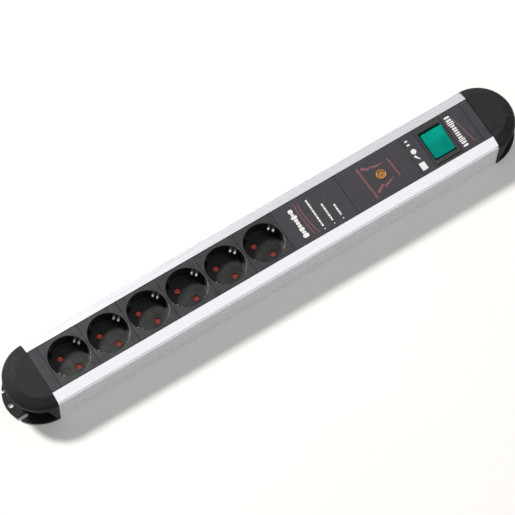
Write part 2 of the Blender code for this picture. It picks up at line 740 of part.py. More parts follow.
def add_switch(plastic, green, brass, glass, white):
    piece("switch_housing", housing_mesh(), plastic, (SWITCH_X, 0, 0))
    pivot = (SWITCH_X, 0, ROCKER_PIVOT_Z)
    tilt = (ROCKER_TILT, 0, 0)
    piece("switch_rocker", rocker_mesh(), green, pivot, tilt)
    for side, pole in ((-1, "neutral"), (1, "live")):
        x = SWITCH_X + side * POLE_OFFSET
        plunger = piece(f"switch_plunger_{pole}", plunger_mesh(), white, pivot, tilt)
        plunger.data.transform(shift(side * POLE_OFFSET))
        lever = box(
            (-LEVER_WIDTH / 2, LEVER_WIDTH / 2),
            (-LEVER_HALF_LENGTH, LEVER_HALF_LENGTH),
            (-LEVER_THICKNESS / 2, LEVER_THICKNESS / 2),
        )
        piece(f"switch_lever_{pole}", lever, brass, (x, 0, LEVER_PIVOT_Z), (-LEVER_TILT, 0, 0))
        pivot_top = LEVER_PIVOT_Z - LEVER_THICKNESS / 2 - GAP - TAB_WIDTH / 2 * sin(LEVER_TILT)
        dip = (CONTACT_Y + TAB_WIDTH / 2) * sin(LEVER_TILT)
        contact_top = LEVER_PIVOT_Z - LEVER_THICKNESS / 2 - GAP - dip
        for y, top, role in ((0, pivot_top, "inlet"), (CONTACT_Y, contact_top, "outlet")):
            tab_x = (-TAB_THICKNESS / 2, TAB_THICKNESS / 2)
            tab = box(tab_x, (-TAB_WIDTH / 2, TAB_WIDTH / 2), (TAB_FOOT, top))
            piece(f"switch_terminal_{pole}_{role}", tab, brass, (x, y, 0))
    lamp_foot = HOUSING_FOOT + HOUSING_FLOOR + GAP
    lamp = lamp_mesh(SWITCH_LAMP_RADIUS, SWITCH_LAMP_TIP_RADIUS, lamp_foot, SWITCH_LAMP_TOP)
    piece("switch_lamp", lamp, glass, (SWITCH_X, 0, 0))


# ---------------------------------------------------------------- end caps


def half_ellipse(reach, half_width, overrun=JOINT_TRIM, count=25):
    """Plan outline of a cap from -Y round through +X to +Y, closed a little behind the joint."""
    turns = [pi * (i / (count - 1) - 0.5) for i in range(count)]
    curve = [(reach * cos(a), half_width * sin(a)) for a in turns]
    return [(-overrun, -half_width), *curve, (-overrun, half_width)]


def dome_mesh():
    """The domed top: half ellipses stacked from the rim's underside to the flat top."""
    levels = [(CAP_REACH - end, CAP_HALF_WIDTH - side, DOME_FOOT + rise) for end, side, rise in DOME_RIM]
    eased = (PLATEAU_REACH + PLATEAU_EASE, PLATEAU_HALF_WIDTH + PLATEAU_EASE, CAP_TOP - PLATEAU_RISE)
    levels += [eased, (PLATEAU_REACH, PLATEAU_HALF_WIDTH, CAP_TOP)]
    rings = [[(*point, z) for point in half_ellipse(reach, half)] for reach, half, z in levels]
    return rings_mesh("dome", rings)


def flange_slot_mesh(y):
    end = FLANGE_SLOT_END + FLANGE_SLOT_WIDTH / 2
    outline = circle((end, y), FLANGE_SLOT_WIDTH / 2, 7, pi / 2, 3 * pi / 2)
    outline += [(CLEAR, y - FLANGE_SLOT_WIDTH / 2), (CLEAR, y + FLANGE_SLOT_WIDTH / 2)]
    return prism(outline, -OVERCUT, FLANGE_THICKNESS + OVERCUT)


def cap_mesh(with_inlet):
    """A hollow end cap that points along +X; its joint face is trimmed flat just beyond x = 0."""
    slab_top = DOME_FOOT + OVERCUT
    cheek = prism(half_ellipse(CAP_REACH, CAP_HALF_WIDTH - 2 * BLEND), 3 * BLEND, slab_top)
    slope = (CHEEK_TOP - CHEEK_FOOT) / DOME_FOOT
    overrun = 2 * OVERCUT
    under = [
        (CHEEK_FOOT - overrun * slope, -overrun),
        (CLEAR, -overrun),
        (CLEAR, slab_top + overrun),
        (CHEEK_TOP + 2 * overrun * slope, slab_top + overrun),
    ]
    hub = prism(half_ellipse(HUB_RADIUS, HUB_RADIUS, 3 * JOINT_TRIM), 4 * BLEND, slab_top - BLEND)
    flange = half_ellipse(FLANGE_REACH, CAP_HALF_WIDTH - 3 * BLEND, 2 * JOINT_TRIM)
    cavity = rod(HUB_RADIUS - CAP_WALL, FLANGE_THICKNESS, CAP_TOP - CAP_WALL, sides=48)
    steps = [
        ("cut", prism(under, -CLEAR, CLEAR, "Y")),
        ("add", dome_mesh()),
        ("add", hub),
        ("add", prism(flange, 0, FLANGE_THICKNESS)),
    ]
    if with_inlet:
        boss_end = HUB_RADIUS + GAP / 2
        steps.append(("add", rod(INLET_BOSS, INLET_BOSS_START, boss_end, (0, INLET_Z), "X", 24)))
    steps.append(("cut", cavity))
    if with_inlet:
        steps.append(("cut", rod(INLET_BODY + GAP, INLET_BORE_START, CLEAR, (0, INLET_Z), "X", 24)))
    hole = rod(FLANGE_HOLE_RADIUS, -OVERCUT, FLANGE_THICKNESS + OVERCUT, (FLANGE_HOLE_X, 0))
    steps.append(("cut", hole))
    for side in (-1, 1):
        steps.append(("cut", flange_slot_mesh(side * FLANGE_SLOT_Y)))
        seat = (side * PORT_Y, PORT_Z)
        steps.append(("cut", rod(PORT_INNER + GAP, -OVERCUT, SCREW_SEAT + 2 * OVERCUT, seat, "X", 12)))
        steps.append(("cut", rod(SCREW_HEAD_RADIUS + GAP, SCREW_SEAT, SEAT_END, seat, "X")))
    steps.append(("cut", box((-CLEAR, BLEND), (-CLEAR, CLEAR), (-CLEAR, CLEAR))))
    return shaped(cheek, *steps)


def cap_screw_mesh():
    """A pan-head screw along X; its head seats at x = 0 and its shank runs to -X."""
    shank = PORT_INNER - GAP
    mesh = turned(
        [
            (shank * 0.6, -SCREW_LENGTH),
            (shank, -SCREW_LENGTH + SCREW_TIP),
            (shank, 0),
            (SCREW_HEAD_RADIUS, 0),
            (SCREW_HEAD_RADIUS, SCREW_HEAD_HEIGHT * 0.5),
            (SCREW_HEAD_RADIUS * 0.7, SCREW_HEAD_HEIGHT),
        ],
        12,
    )
    return moved(mesh, Matrix.Rotation(pi / 2, 4, "Y"))


def gland_mesh():
    """The cable inlet's bushing, along X from inside the cap to under the dome's edge."""
    seat = HUB_RADIUS + GAP / 2 + GAP
    profile = [
        (INLET_BORE, GLAND_START),
        (INLET_BODY, GLAND_START),
        (INLET_BODY, seat),
        (INLET_COLLAR, seat),
        (INLET_COLLAR, seat + COLLAR_LENGTH),
        (INLET_BODY - 0.4 * NECK_EASE, seat + COLLAR_LENGTH + NECK_EASE),
        (INLET_BODY - NECK_EASE, GLAND_END),
        (INLET_BORE, GLAND_END),
    ]
    return moved(tube(profile, 24), Matrix.Rotation(pi / 2, 4, "Y"))


def add_end_caps(plastic, steel, rubber):
    joint = CHANNEL_END + GAP - BLEND
    for side, name, turn in ((-1, "left", pi), (1, "right", 0)):
        piece(f"end_cap_{name}", cap_mesh(side > 0), plastic, (side * joint, 0, 0), (0, 0, turn))
        for number, y in enumerate((-PORT_Y, PORT_Y), 1):
            head = side * (joint + SCREW_SEAT + GAP)
            piece(f"cap_screw_{name}_{number}", cap_screw_mesh(), steel, (head, y, PORT_Z), (0, 0, turn))
    piece("cable_gland", gland_mesh(), rubber, (joint, 0, INLET_Z))


# ---------------------------------------------------------------- wires


def smooth_route(knots, spacing):
    """Points read from a Catmull-Rom curve through the knots."""
    ends = [2 * knots[0] - knots[1], *knots, 2 * knots[-1] - knots[-2]]
    points = []
    for a, b, c, d in zip(ends, ends[1:], ends[2:], ends[3:]):
        steps = max(1, round((c - b).length / spacing))
        for i in range(steps):
            t = i / steps
            cubic = -a + 3 * b - 3 * c + d
            square = 2 * a - 5 * b + 4 * c - d
            points.append(0.5 * (2 * b + (c - a) * t + square * t**2 + cubic * t**3))
    return [*points, knots[-1]]


def add_wire(name, knots, surface):
    curve = bpy.data.curves.new(name, "CURVE")
    curve.dimensions = "3D"
    curve.bevel_depth = WIRE_RADIUS
    curve.bevel_resolution = 1
    curve.use_fill_caps = True
    spline = curve.splines.new("POLY")
    points = smooth_route([Vector(knot) for knot in knots], 6 * WIRE_RADIUS)
    spline.points.add(len(points) - 1)
    for point, place in zip(spline.points, points):
        point.co = (*place, 1)
    curve.materials.append(surface)
    wire = bpy.data.objects.new(name, curve)
    bpy.context.scene.collection.objects.link(wire)


def add_wires(brown, blue, green_yellow):
    """The cores from the cable inlet to the switch, and from the switch to the surge board."""
    start = CHANNEL_END + WIRE_START
    live = SWITCH_X + POLE_OFFSET
    neutral = SWITCH_X - POLE_OFFSET
    tab = TAB_FOOT - 2 * GAP
    low = WIRE_LOW
    board = BOARD_END + 2 * GAP
    board_z = BOARD_Z + BOARD_THICKNESS / 2
    inlets = [
        ("wire_live_inlet", 0.0045, live, brown),
        ("wire_neutral_inlet", -0.0045, neutral, blue),
    ]
    for name, y, x, colour in inlets:
        approach = [(x + 0.017, y, low), (x + 0.007, 0.8 * y, low), (x, 0, tab - 0.003)]
        add_wire(name, [(start, y, INLET_Z), (start - 0.012, y, 0.012), *approach, (x, 0, tab)], colour)
    outlets = [
        ("wire_live_outlet", live, 0.0135, brown),
        ("wire_neutral_outlet", neutral, 0.0080, blue),
    ]
    for name, x, y, colour in outlets:
        fall = [(x, CONTACT_Y, tab), (x, CONTACT_Y, tab - 0.003), (x - 0.005, y, low)]
        rise = [(x - 0.014, y, low), (board + 0.009, y, 0.012), (board + 0.003, y, board_z)]
        add_wire(name, [*fall, *rise, (board, y, board_z)], colour)
    earth = [
        (start, -0.0092, INLET_Z),
        (start - 0.014, -0.0115, 0.0125),
        (SWITCH_X + 0.020, -0.014, 0.0085),
        (SWITCH_X - 0.010, -0.0145, 0.0075),
        (board + 0.009, -0.012, 0.012),
        (board + 0.003, -0.012, board_z),
        (board, -0.012, board_z),
    ]
    add_wire("wire_earth", earth, green_yellow)


# ---------------------------------------------------------------- assembly


def clear_scene():
    for old in list(bpy.data.objects):
        bpy.data.objects.remove(old)


def main():
    clear_scene()
    aluminium = material("anodised_aluminium", (0.80, 0.81, 0.83), 0.34, 1.0)
    face_plastic = material("insert_plastic", (0.070, 0.071, 0.078), 0.48)
    cap_plastic = material("cap_plastic", (0.038, 0.038, 0.040), 0.55)
    socket_plastic = material("socket_plastic", (0.050, 0.050, 0.055), 0.42)
    shutter_plastic = material("shutter_plastic", (0.62, 0.085, 0.035), 0.45)
    tray_plastic = material("tray_plastic", (0.55, 0.55, 0.52), 0.5)
    green = material("rocker_green", (0.003, 0.30, 0.20), 0.22)
    amber = material("lens_amber", (0.68, 0.26, 0.02), 0.2)
    brass = material("contact_brass", (0.72, 0.52, 0.24), 0.3, 1.0)
    steel = material("bright_steel", (0.62, 0.62, 0.61), 0.3, 1.0)
    board = material("board_laminate", (0.05, 0.16, 0.07), 0.5)
    coating = material("varistor_coating", (0.03, 0.09, 0.35), 0.4)
    glass = material("lamp_glass", (0.75, 0.70, 0.62), 0.1)
    rubber = material("gland_rubber", (0.018, 0.018, 0.018), 0.7)
    brown = material("wire_brown", (0.13, 0.045, 0.02), 0.5)
    blue = material("wire_blue", (0.02, 0.09, 0.45), 0.5)
    green_yellow = material("wire_green_yellow", (0.35, 0.55, 0.05), 0.5)

    piece("aluminium_channel", channel_mesh(), aluminium)
    blanks = [
        ("end_spacer_left", -CHANNEL_END, END_SPACER_LENGTH),
        ("status_panel", STATUS_START, STATUS_LENGTH),
        ("label_panel", LABEL_START, LABEL_LENGTH),
        ("blank_panel", BLANK_START, BLANK_LENGTH),
        ("end_spacer_right", RIGHT_SPACER_START, CHANNEL_END - RIGHT_SPACER_START),
    ]
    for name, start, length in blanks:
        piece(name, insert_mesh(length), face_plastic, (start, 0, 0))
    add_sockets(socket_plastic, shutter_plastic, steel)
    add_busbars(brass, steel, tray_plastic)
    add_surge_section(face_plastic, amber, board, coating, glass, steel)
    add_switch(face_plastic, green, brass, glass, tray_plastic)
    add_end_caps(cap_plastic, steel, rubber)
    add_wires(brown, blue, green_yellow)


main()
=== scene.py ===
"""The looks of a desk power strip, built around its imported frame.

X runs along the strip with the switch at +X, Y runs across it away from the camera, and Z is up. Sizes are in
metres. The outer pieces are modelled again with fillets, print and moulded detail; the inner ones keep their
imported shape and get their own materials.
"""

import json
from math import asin, cos, pi, radians, sin, sqrt

import bmesh
import bpy
from mathutils import Matrix, Vector


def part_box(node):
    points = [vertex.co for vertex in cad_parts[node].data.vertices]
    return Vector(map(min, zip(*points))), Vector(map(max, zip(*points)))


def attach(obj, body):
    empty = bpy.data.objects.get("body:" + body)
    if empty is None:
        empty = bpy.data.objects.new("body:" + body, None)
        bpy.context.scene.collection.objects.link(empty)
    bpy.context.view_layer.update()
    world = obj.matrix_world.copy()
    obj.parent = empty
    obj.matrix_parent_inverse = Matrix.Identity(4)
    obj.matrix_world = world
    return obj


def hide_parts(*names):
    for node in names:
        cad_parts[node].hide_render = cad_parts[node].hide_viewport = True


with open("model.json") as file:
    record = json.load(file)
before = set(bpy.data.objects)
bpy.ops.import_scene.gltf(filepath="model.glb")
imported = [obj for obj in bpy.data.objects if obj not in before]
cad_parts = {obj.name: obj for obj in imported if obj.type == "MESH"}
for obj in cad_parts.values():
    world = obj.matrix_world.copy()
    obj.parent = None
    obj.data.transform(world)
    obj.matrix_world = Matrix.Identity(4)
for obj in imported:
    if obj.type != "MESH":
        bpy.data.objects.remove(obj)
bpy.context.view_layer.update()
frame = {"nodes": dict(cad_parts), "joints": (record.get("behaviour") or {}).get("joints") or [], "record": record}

# ---------------------------------------------------------------- places read from the frame

channel_low, channel_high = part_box("aluminium_channel")
CHANNEL_END = channel_high.x
CHANNEL_HALF = channel_high.y
CHANNEL_FOOT = channel_low.z
LIP_TOP = channel_high.z
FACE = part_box("status_panel")[1].z
TONGUE_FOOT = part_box("status_panel")[0].z
TONGUE_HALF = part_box("status_panel")[1].y
SOCKET_COUNT = 6
CUP_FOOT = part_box("socket_shutter_1")[1].z + 0.0003
POST_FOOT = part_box("socket_body_1")[0].z
BODY = "strip"

# ---------------------------------------------------------------- sizes of the detailed pieces

WALL = 0.0018
MOUTH_HALF = 0.0228
SHOULDER_DROP = 0.0044
SHELF_TOP = 0.0346
SHELF_INNER = 0.024
SHELF_THICKNESS = 0.0014
PORT_Y = 0.029
PORT_Z = 0.0125
PORT_OUTER = 0.0032
PORT_INNER = 0.00145
PORT_MOUTH = 0.0014
RIM_WIDTH = 0.0004  # of the side wall's upper edge beside the groove
GROOVE_WIDTH = 0.0010
GROOVE_DEPTH = 0.0020

INSERT_HALF = 0.02245
TONGUE_TOP = 0.0378
PANEL_SKIN = 0.002
PANEL_RIB = 0.0015
PANEL_EDGE = 0.0003

RECESS_RADIUS = 0.0192
RECESS_DEPTH = 0.0175
RECESS_FLOOR = FACE - RECESS_DEPTH
RIM_FILLET = 0.0007
FLOOR_FILLET = 0.0006
CUP_WALL = 0.0014
PIN_OFFSET = 0.0095
PIN_HOLE_RADIUS = 0.00245  # at the shutter; a plug's pin is 4.8 mm thick
PIN_HOLE_MOUTH = 0.0029
PIN_ANGLE = radians(-54.3)
EARTH_ANGLE = PIN_ANGLE + pi / 2
GUIDE_RIB_WIDTH = 0.0046
GUIDE_RIB_INNER = 0.0175
CLIP_SLOT_WIDTH = 0.0068
CLIP_SLOT_OUTER = 0.023
CLIP_SHEET = 0.0007
TINE_OFFSET = 0.0023  # of each of a clip's two tines from its middle
TINE_HALF_WIDTH = 0.0010
EARTH_HALF_WIDTH = 0.0022

LENS_SEAT_RADIUS = 0.0047
LENS_SEAT_DEPTH = 0.003
LENS_STEM = 0.0044
PANEL_LEG_RADIUS = 0.0018
PANEL_LEG_Y = 0.016

BEZEL_HALF = (0.0142, 0.0199)
BEZEL_EASE = 0.0005
WELL_HALF = (0.0116, 0.0150)
WELL_FLARE = 0.0014
SHELL_HALF = (0.0129, 0.017)
ROCKER_HALF_SPAN = 0.0133
ROCKER_HALF_LENGTH = 0.0113
ROCKER_TILT = radians(7)
ROCKER_END_RADIUS = 0.0006
ROCKER_MIDDLE = 0.0064  # height of the crown's crease above the pivot
ROCKER_END = 0.0077  # and of its two ends
TRUNNION_RADIUS = 0.0015
PLUNGER_BORE = 0.0017

CAP_REACH = 0.0347
CAP_HALF_WIDTH = 0.0348 - 0.00001
CAP_TOP = FACE + 0.001
DOME_FOOT = 0.0294
PLATEAU_RADIUS = 0.0246
CAP_WALL = 0.0024
HUB_RADIUS = 0.026
HUB_ROOT = [(0.0268, 0.001), (0.0268, 0.0034), (0.0264, 0.0037), (0.0259, 0.0041)]
FLANGE_REACH = 0.0378
FLANGE_THICKNESS = 0.0032
FLANGE_HOLE_RADIUS = 0.00275
FLANGE_SLOT_HALF = 0.0018
FLANGE_SLOT_END = 0.0235
FLANGE_HOLE_X = 0.0330
FLANGE_SLOT_Y = 0.0156
CHEEK_FOOT = 0.002
CHEEK_TOP = 0.0106
SCREW_HEAD_RADIUS = 0.003
SCREW_HEAD_HEIGHT = 0.0021
SCREW_SEAT = 0.0026
SCREW_LENGTH = 0.013
SCREW_PITCH = 0.001
SCREW_TURNS = 11
CROSS_HALF_LENGTH = 0.0017
CROSS_HALF_WIDTH = 0.00035
INLET_Z = 0.017
INLET_BORE = 0.0042
INLET_BODY = 0.006
INLET_COLLAR = 0.0078
INLET_BOSS = 0.009
GLAND_END = 0.0330

INK_SINK = 0.0001  # printed ink starts this far below the face
INK_RISE = 0.00003  # and stands this far above it

PANEL_WATTS = 3.1425  # a lamp panel's power for each square metre and each unit of radiance

# ---------------------------------------------------------------- outlines and meshes


def circle(centre, radius, count, start=0.0, end=2 * pi):
    """Points around a circle; a full turn leaves out the repeated last point."""
    whole = abs(end - start - 2 * pi) < 1e-9
    steps = count if whole else count - 1
    turns = [start + (end - start) * i / steps for i in range(count)]
    return [(centre[0] + radius * cos(a), centre[1] + radius * sin(a)) for a in turns]


def rounded(corners, steps=5, loop=True):
    """An outline whose corners (a, b, radius) are turned into arcs. An open one keeps its two ends."""
    points = []
    last = len(corners) - 1
    for i, (a, b, radius) in enumerate(corners):
        here = Vector((a, b))
        if radius == 0 or (not loop and i in (0, last)):
            points.append((a, b))
            continue
        before = (Vector(corners[i - 1][:2]) - here).normalized()
        after = (Vector(corners[(i + 1) % len(corners)][:2]) - here).normalized()
        half = before.angle(after) / 2
        centre = here + (before + after).normalized() * radius / sin(half)
        reach = radius * cos(half) / sin(half)
        start = here + before * reach - centre
        end = here + after * reach - centre
        points += [tuple(centre + start.slerp(end, k / steps) * radius) for k in range(steps + 1)]
    return points


def rounded_rectangle(half_a, half_b, radius, steps=5):
    corners = [(half_a, -half_b), (half_a, half_b), (-half_a, half_b), (-half_a, -half_b)]
    return rounded([(a, b, radius) for a, b in corners], steps)


def closed_mesh(name, points, faces):
    """A mesh of these faces, with every face turned outwards."""
    mesh = bpy.data.meshes.new(name)
    mesh.from_pydata(points, [], faces)
    work = bmesh.new()
    work.from_mesh(mesh)
    bmesh.ops.remove_doubles(work, verts=work.verts, dist=1e-7)
    bmesh.ops.recalc_face_normals(work, faces=work.faces)
    work.to_mesh(mesh)
    work.free()
    return mesh


def rings_mesh(rings, capped=True, closed_path=False):
    """A closed skin over a row of rings that all have the same number of points."""
    count = len(rings[0])
    faces = []
    spans = len(rings) if closed_path else len(rings) - 1
    for r in range(spans):
        for i in range(count):
            j = (i + 1) % count
            after = (r + 1) % len(rings)
            faces.append((r * count + i, r * count + j, after * count + j, after * count + i))
    if capped and not closed_path:
        faces.append(tuple(range(count)))
        faces.append(tuple((len(rings) - 1) * count + i for i in range(count)))
    return closed_mesh("rings", [point for ring in rings for point in ring], faces)


def prism(outline, low, high, axis="Z"):
    """An outline drawn across an axis, extruded along it. Across X the outline is (y, z), across Y (x, z)."""
    place = {
        "X": lambda a, b, t: (t, a, b),
        "Y": lambda a, b, t: (a, t, b),
        "Z": lambda a, b, t: (a, b, t),
    }[axis]
    return rings_mesh([[place(a, b, t) for a, b in outline] for t in (low, high)])


def box(x, y, z):
    return prism([(x[0], y[0]), (x[1], y[0]), (x[1], y[1]), (x[0], y[1])], *z)


def rod(radius, low, high, centre=(0.0, 0.0), axis="Z", sides=48):
    return prism(circle(centre, radius, sides), low, high, axis)


def turned(profile, sides=128, centre=(0.0, 0.0)):
    """A solid turned about a vertical axis from (radius, z) pairs, closed by flat ends."""
    return rings_mesh([[(*point, z) for point in circle(centre, radius, sides)] for radius, z in profile])


def ring_turned(profile, sides=96):
    """A turned ring around a hole: its (radius, z) profile is a closed loop."""
    rings = [[(*point, z) for point in circle((0, 0), radius, sides)] for radius, z in profile]
    return rings_mesh(rings, closed_path=True)


def moved(mesh, matrix):
    mesh.transform(matrix)
    return mesh


def turn(angle, axis="Z"):
    return Matrix.Rotation(angle, 4, axis)


def shift(x=0.0, y=0.0, z=0.0):
    return Matrix.Translation((x, y, z))


def softened(mesh, width, steps=3, angle=30):
    """The mesh with its sharp edges rounded."""
    work = bmesh.new()
    work.from_mesh(mesh)
    sharp = [e for e in work.edges if len(e.link_faces) == 2 and e.calc_face_angle() > radians(angle)]
    bmesh.ops.bevel(
        work, geom=sharp, offset=width, segments=steps, profile=0.5, affect="EDGES", clamp_overlap=True
    )
    work.to_mesh(mesh)
    work.free()
    return mesh


def shaped(base, *steps):
    """The base mesh after a row of ("cut" or "add", mesh) steps."""
    names = {"cut": "DIFFERENCE", "add": "UNION"}
    scene = bpy.context.scene
    body = bpy.data.objects.new("body", base)
    scene.collection.objects.link(body)
    tools = []
    for operation, mesh in steps:
        tool = bpy.data.objects.new("tool", mesh)
        scene.collection.objects.link(tool)
        tools.append(tool)
        boolean = body.modifiers.new(operation, "BOOLEAN")
        boolean.operation = names[operation]
        boolean.solver = "EXACT"
        boolean.object = tool
    graph = bpy.context.evaluated_depsgraph_get()
    result = bpy.data.meshes.new_from_object(body.evaluated_get(graph))
    for used in [body, *tools]:
        bpy.data.objects.remove(used)
    return result


def add_piece(name, mesh, surface, replaces=(), body=BODY, place=None, smooth_angle=28):
    """A visible piece that rides on a body and stands for some CAD nodes."""
    if place is not None:
        mesh = mesh.copy()
        mesh.transform(place)
    mesh.materials.clear()
    mesh.materials.append(surface)
    mesh.shade_smooth()
    mesh.set_sharp_from_angle(angle=radians(smooth_angle))
    piece = bpy.data.objects.new(name, mesh)
    bpy.context.scene.collection.objects.link(piece)
    normals = piece.modifiers.new("even_normals", "WEIGHTED_NORMAL")
    normals.keep_sharp = True
    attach(piece, body)
    if replaces:
        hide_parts(*replaces)
    return piece


# ---------------------------------------------------------------- materials


class Surface:
    """A procedural material: a Principled shader fed by noise in the object's own coordinates."""

    def __init__(self, name, roughness, metallic=0.0, **sockets):
        self.material = bpy.data.materials.new(name)
        self.material.use_nodes = True
        self.tree = self.material.node_tree
        self.shader = self.tree.nodes["Principled BSDF"]
        self.shader.inputs["Roughness"].default_value = roughness
        self.shader.inputs["Metallic"].default_value = metallic
        for socket, value in sockets.items():
            self.shader.inputs[socket.replace("_", " ")].default_value = value
        self.place = self.tree.nodes.new("ShaderNodeTexCoord").outputs["Object"]

    def node(self, kind, **inputs):
        made = self.tree.nodes.new("ShaderNode" + kind)
        for socket, value in inputs.items():
            target = made.inputs[socket.replace("_", " ")]
            if isinstance(value, bpy.types.NodeSocket):
                self.tree.links.new(value, target)
            else:
                target.default_value = value
        return made

    def noise(self, scale, stretch=(1, 1, 1), detail=3.0, roughness=0.55):
        """A noise value whose features are about 1/scale metres across, longer where stretch is smaller."""
        mapping = self.node("Mapping", Vector=self.place, Scale=[scale * s for s in stretch])
        made = self.node("TexNoise", Vector=mapping.outputs[0], Scale=1.0, Detail=detail, Roughness=roughness)
        return made.outputs["Fac"]

    def range(self, value, low, high, out_low, out_high):
        made = self.node("MapRange", Value=value)
        limits = {"From Min": low, "From Max": high, "To Min": out_low, "To Max": out_high}
        for socket, number in limits.items():
            made.inputs[socket].default_value = number
        return made.outputs[0]

    def mix(self, factor, first, second):
        made = self.tree.nodes.new("ShaderNodeMix")
        made.data_type = "RGBA"
        self.tree.links.new(factor, made.inputs[0])
        for socket, value in ((made.inputs[6], first), (made.inputs[7], second)):
            if isinstance(value, bpy.types.NodeSocket):
                self.tree.links.new(value, socket)
            else:
                socket.default_value = (*value, 1)
        return made.outputs[2]

    def edges(self, low=0.53, high=0.60):
        """1 on convex edges, 0 elsewhere."""
        geometry = self.tree.nodes.new("ShaderNodeNewGeometry")
        return self.range(geometry.outputs["Pointiness"], low, high, 0, 1)

    def colour(self, value):
        if isinstance(value, bpy.types.NodeSocket):
            self.tree.links.new(value, self.shader.inputs["Base Color"])
        else:
            self.shader.inputs["Base Color"].default_value = (*value, 1)

    def rough(self, value):
        self.tree.links.new(value, self.shader.inputs["Roughness"])

    def bump(self, height, depth, strength=1.0):
        made = self.node("Bump", Height=height, Distance=depth, Strength=strength)
        self.tree.links.new(made.outputs[0], self.shader.inputs["Normal"])


def tint(colour, factor):
    return tuple(min(1.0, channel * factor) for channel in colour)


def plastic(name, colour, roughness, grain=1400, depth=0.00002, mottle=0.12, wear=0.35, painted_recess_shade=None, **sockets):
    """Moulded plastic: fine spark-eroded grain, slow colour and gloss changes, paler rubbed edges.

    Below the inserts' face the colour turns to a painted recess shade, which stands in for the shade inside the
    recesses.
    """
    made = Surface(name, roughness, **sockets)
    slow = made.noise(45, detail=4)
    body = made.mix(made.range(slow, 0.3, 0.7, 0, 1), tint(colour, 1 - mottle), tint(colour, 1 + mottle))
    # painted shade: the colour turns near-black below the inserts' face, inside the recesses
    if painted_recess_shade:
        height = made.node("SeparateXYZ", Vector=made.place).outputs["Z"]
        body = made.mix(made.range(height, FACE - 0.0015, FACE - 0.0004, 0, 1), painted_recess_shade, body)
    if wear:
        patches = made.range(made.noise(260, detail=4), 0.42, 0.62, 0, wear)
        rubbed = made.node("Math", Value=made.edges())
        rubbed.operation = "MULTIPLY"
        made.tree.links.new(patches, rubbed.inputs[1])
        body = made.mix(rubbed.outputs[0], body, tint(colour, 3.0))
    made.colour(body)
    made.rough(made.range(made.noise(130, detail=5), 0.3, 0.7, roughness - 0.06, roughness + 0.06))
    made.bump(made.noise(grain, detail=2), depth)
    return made.material


def anodised(name, colour, roughness):
    """Satin anodised extrusion: fine draw lines along X, a faint cloudiness, brighter rubbed edges."""
    made = Surface(name, roughness, 1.0, Anisotropic=0.25)
    lines = made.noise(1800, (0.01, 1, 1), detail=4, roughness=0.65)
    cloud = made.noise(16, (0.4, 1, 1), detail=3)
    body = made.mix(made.range(lines, 0.3, 0.7, 0, 1), tint(colour, 0.965), tint(colour, 1.0))
    body = made.mix(made.range(cloud, 0.3, 0.7, 0, 0.35), body, tint(colour, 0.96))
    made.colour(made.mix(made.range(made.edges(0.52, 0.62), 0, 1, 0, 0.4), body, (0.98, 0.98, 0.98)))
    made.rough(made.range(lines, 0.25, 0.75, roughness - 0.05, roughness + 0.07))
    made.bump(lines, 0.000012)
    return made.material


def metal(name, colour, roughness, grain=900):
    """Stamped or turned bright metal with light tarnish."""
    made = Surface(name, roughness, 1.0)
    cloud = made.noise(90, detail=5)
    made.colour(made.mix(made.range(cloud, 0.35, 0.7, 0, 1), colour, tint(colour, 0.78)))
    made.rough(made.range(made.noise(grain, (1, 1, 0.15)), 0.3, 0.7, roughness - 0.05, roughness + 0.08))
    made.bump(made.noise(grain, (1, 1, 0.15)), 0.000006)
    return made.material


def clear_plastic(name, colour, roughness, transmission, painted_shade=0.0, **sockets):
    """Tinted translucent plastic, denser in slow clouds, with faint flow lines. Painted shade can darken it
    towards -Y.
    """
    made = Surface(name, roughness, **sockets)
    made.shader.inputs["Transmission Weight"].default_value = transmission
    cloud = made.noise(110, (1, 0.5, 1), detail=3)
    body = made.mix(made.range(cloud, 0.3, 0.7, 0, 1), tint(colour, 0.84), tint(colour, 1.1))
    # painted shade: up to this share darker towards -Y
    if painted_shade:
        along = made.node("SeparateXYZ", Vector=made.place).outputs["Y"]
        body = made.mix(made.range(along, -0.002, 0.004, painted_shade, 0), body, (0, 0, 0))
    made.colour(body)
    made.rough(made.range(made.noise(500, (1, 0.2, 1)), 0.3, 0.7, roughness, roughness + 0.1))
    made.bump(made.noise(320, (1, 0.25, 1)), 0.00002)
    return made.material


def ink(name, colour):
    """Pad-printed ink, slightly uneven."""
    made = Surface(name, 0.5)
    made.colour(made.mix(made.range(made.noise(900, detail=4), 0.35, 0.6, 0, 1), tint(colour, 0.82), colour))
    made.rough(made.range(made.noise(700), 0.3, 0.7, 0.42, 0.6))
    made.bump(made.noise(2200), 0.000008)
    return made.material


ALUMINIUM = anodised("anodised_aluminium_finish", (0.93, 0.925, 0.955), 0.27)
INSERT = plastic(
    "insert_plastic_finish", (0.0400, 0.0381, 0.0432), 0.46, mottle=0.04, wear=0.06, Specular_IOR_Level=0.12
)
CAP = plastic(
    "cap_plastic_finish", (0.0175, 0.0171, 0.0175), 0.5, grain=900, depth=0.00005, Specular_IOR_Level=0.10
)
# Socket plastic, with painted shade darkening its recesses below the face
SOCKET = plastic(
    "socket_plastic_with_painted_shade",
    (0.0165, 0.0156, 0.0176),
    0.38,
    depth=0.00001,
    mottle=0.05,
    wear=0.06,
    painted_recess_shade=(0.0010, 0.0010, 0.0004),
)
FRAME = plastic(
    "switch_frame_finish", (0.030, 0.0276, 0.0286), 0.4, mottle=0.05, wear=0.15, Specular_IOR_Level=0.3
)
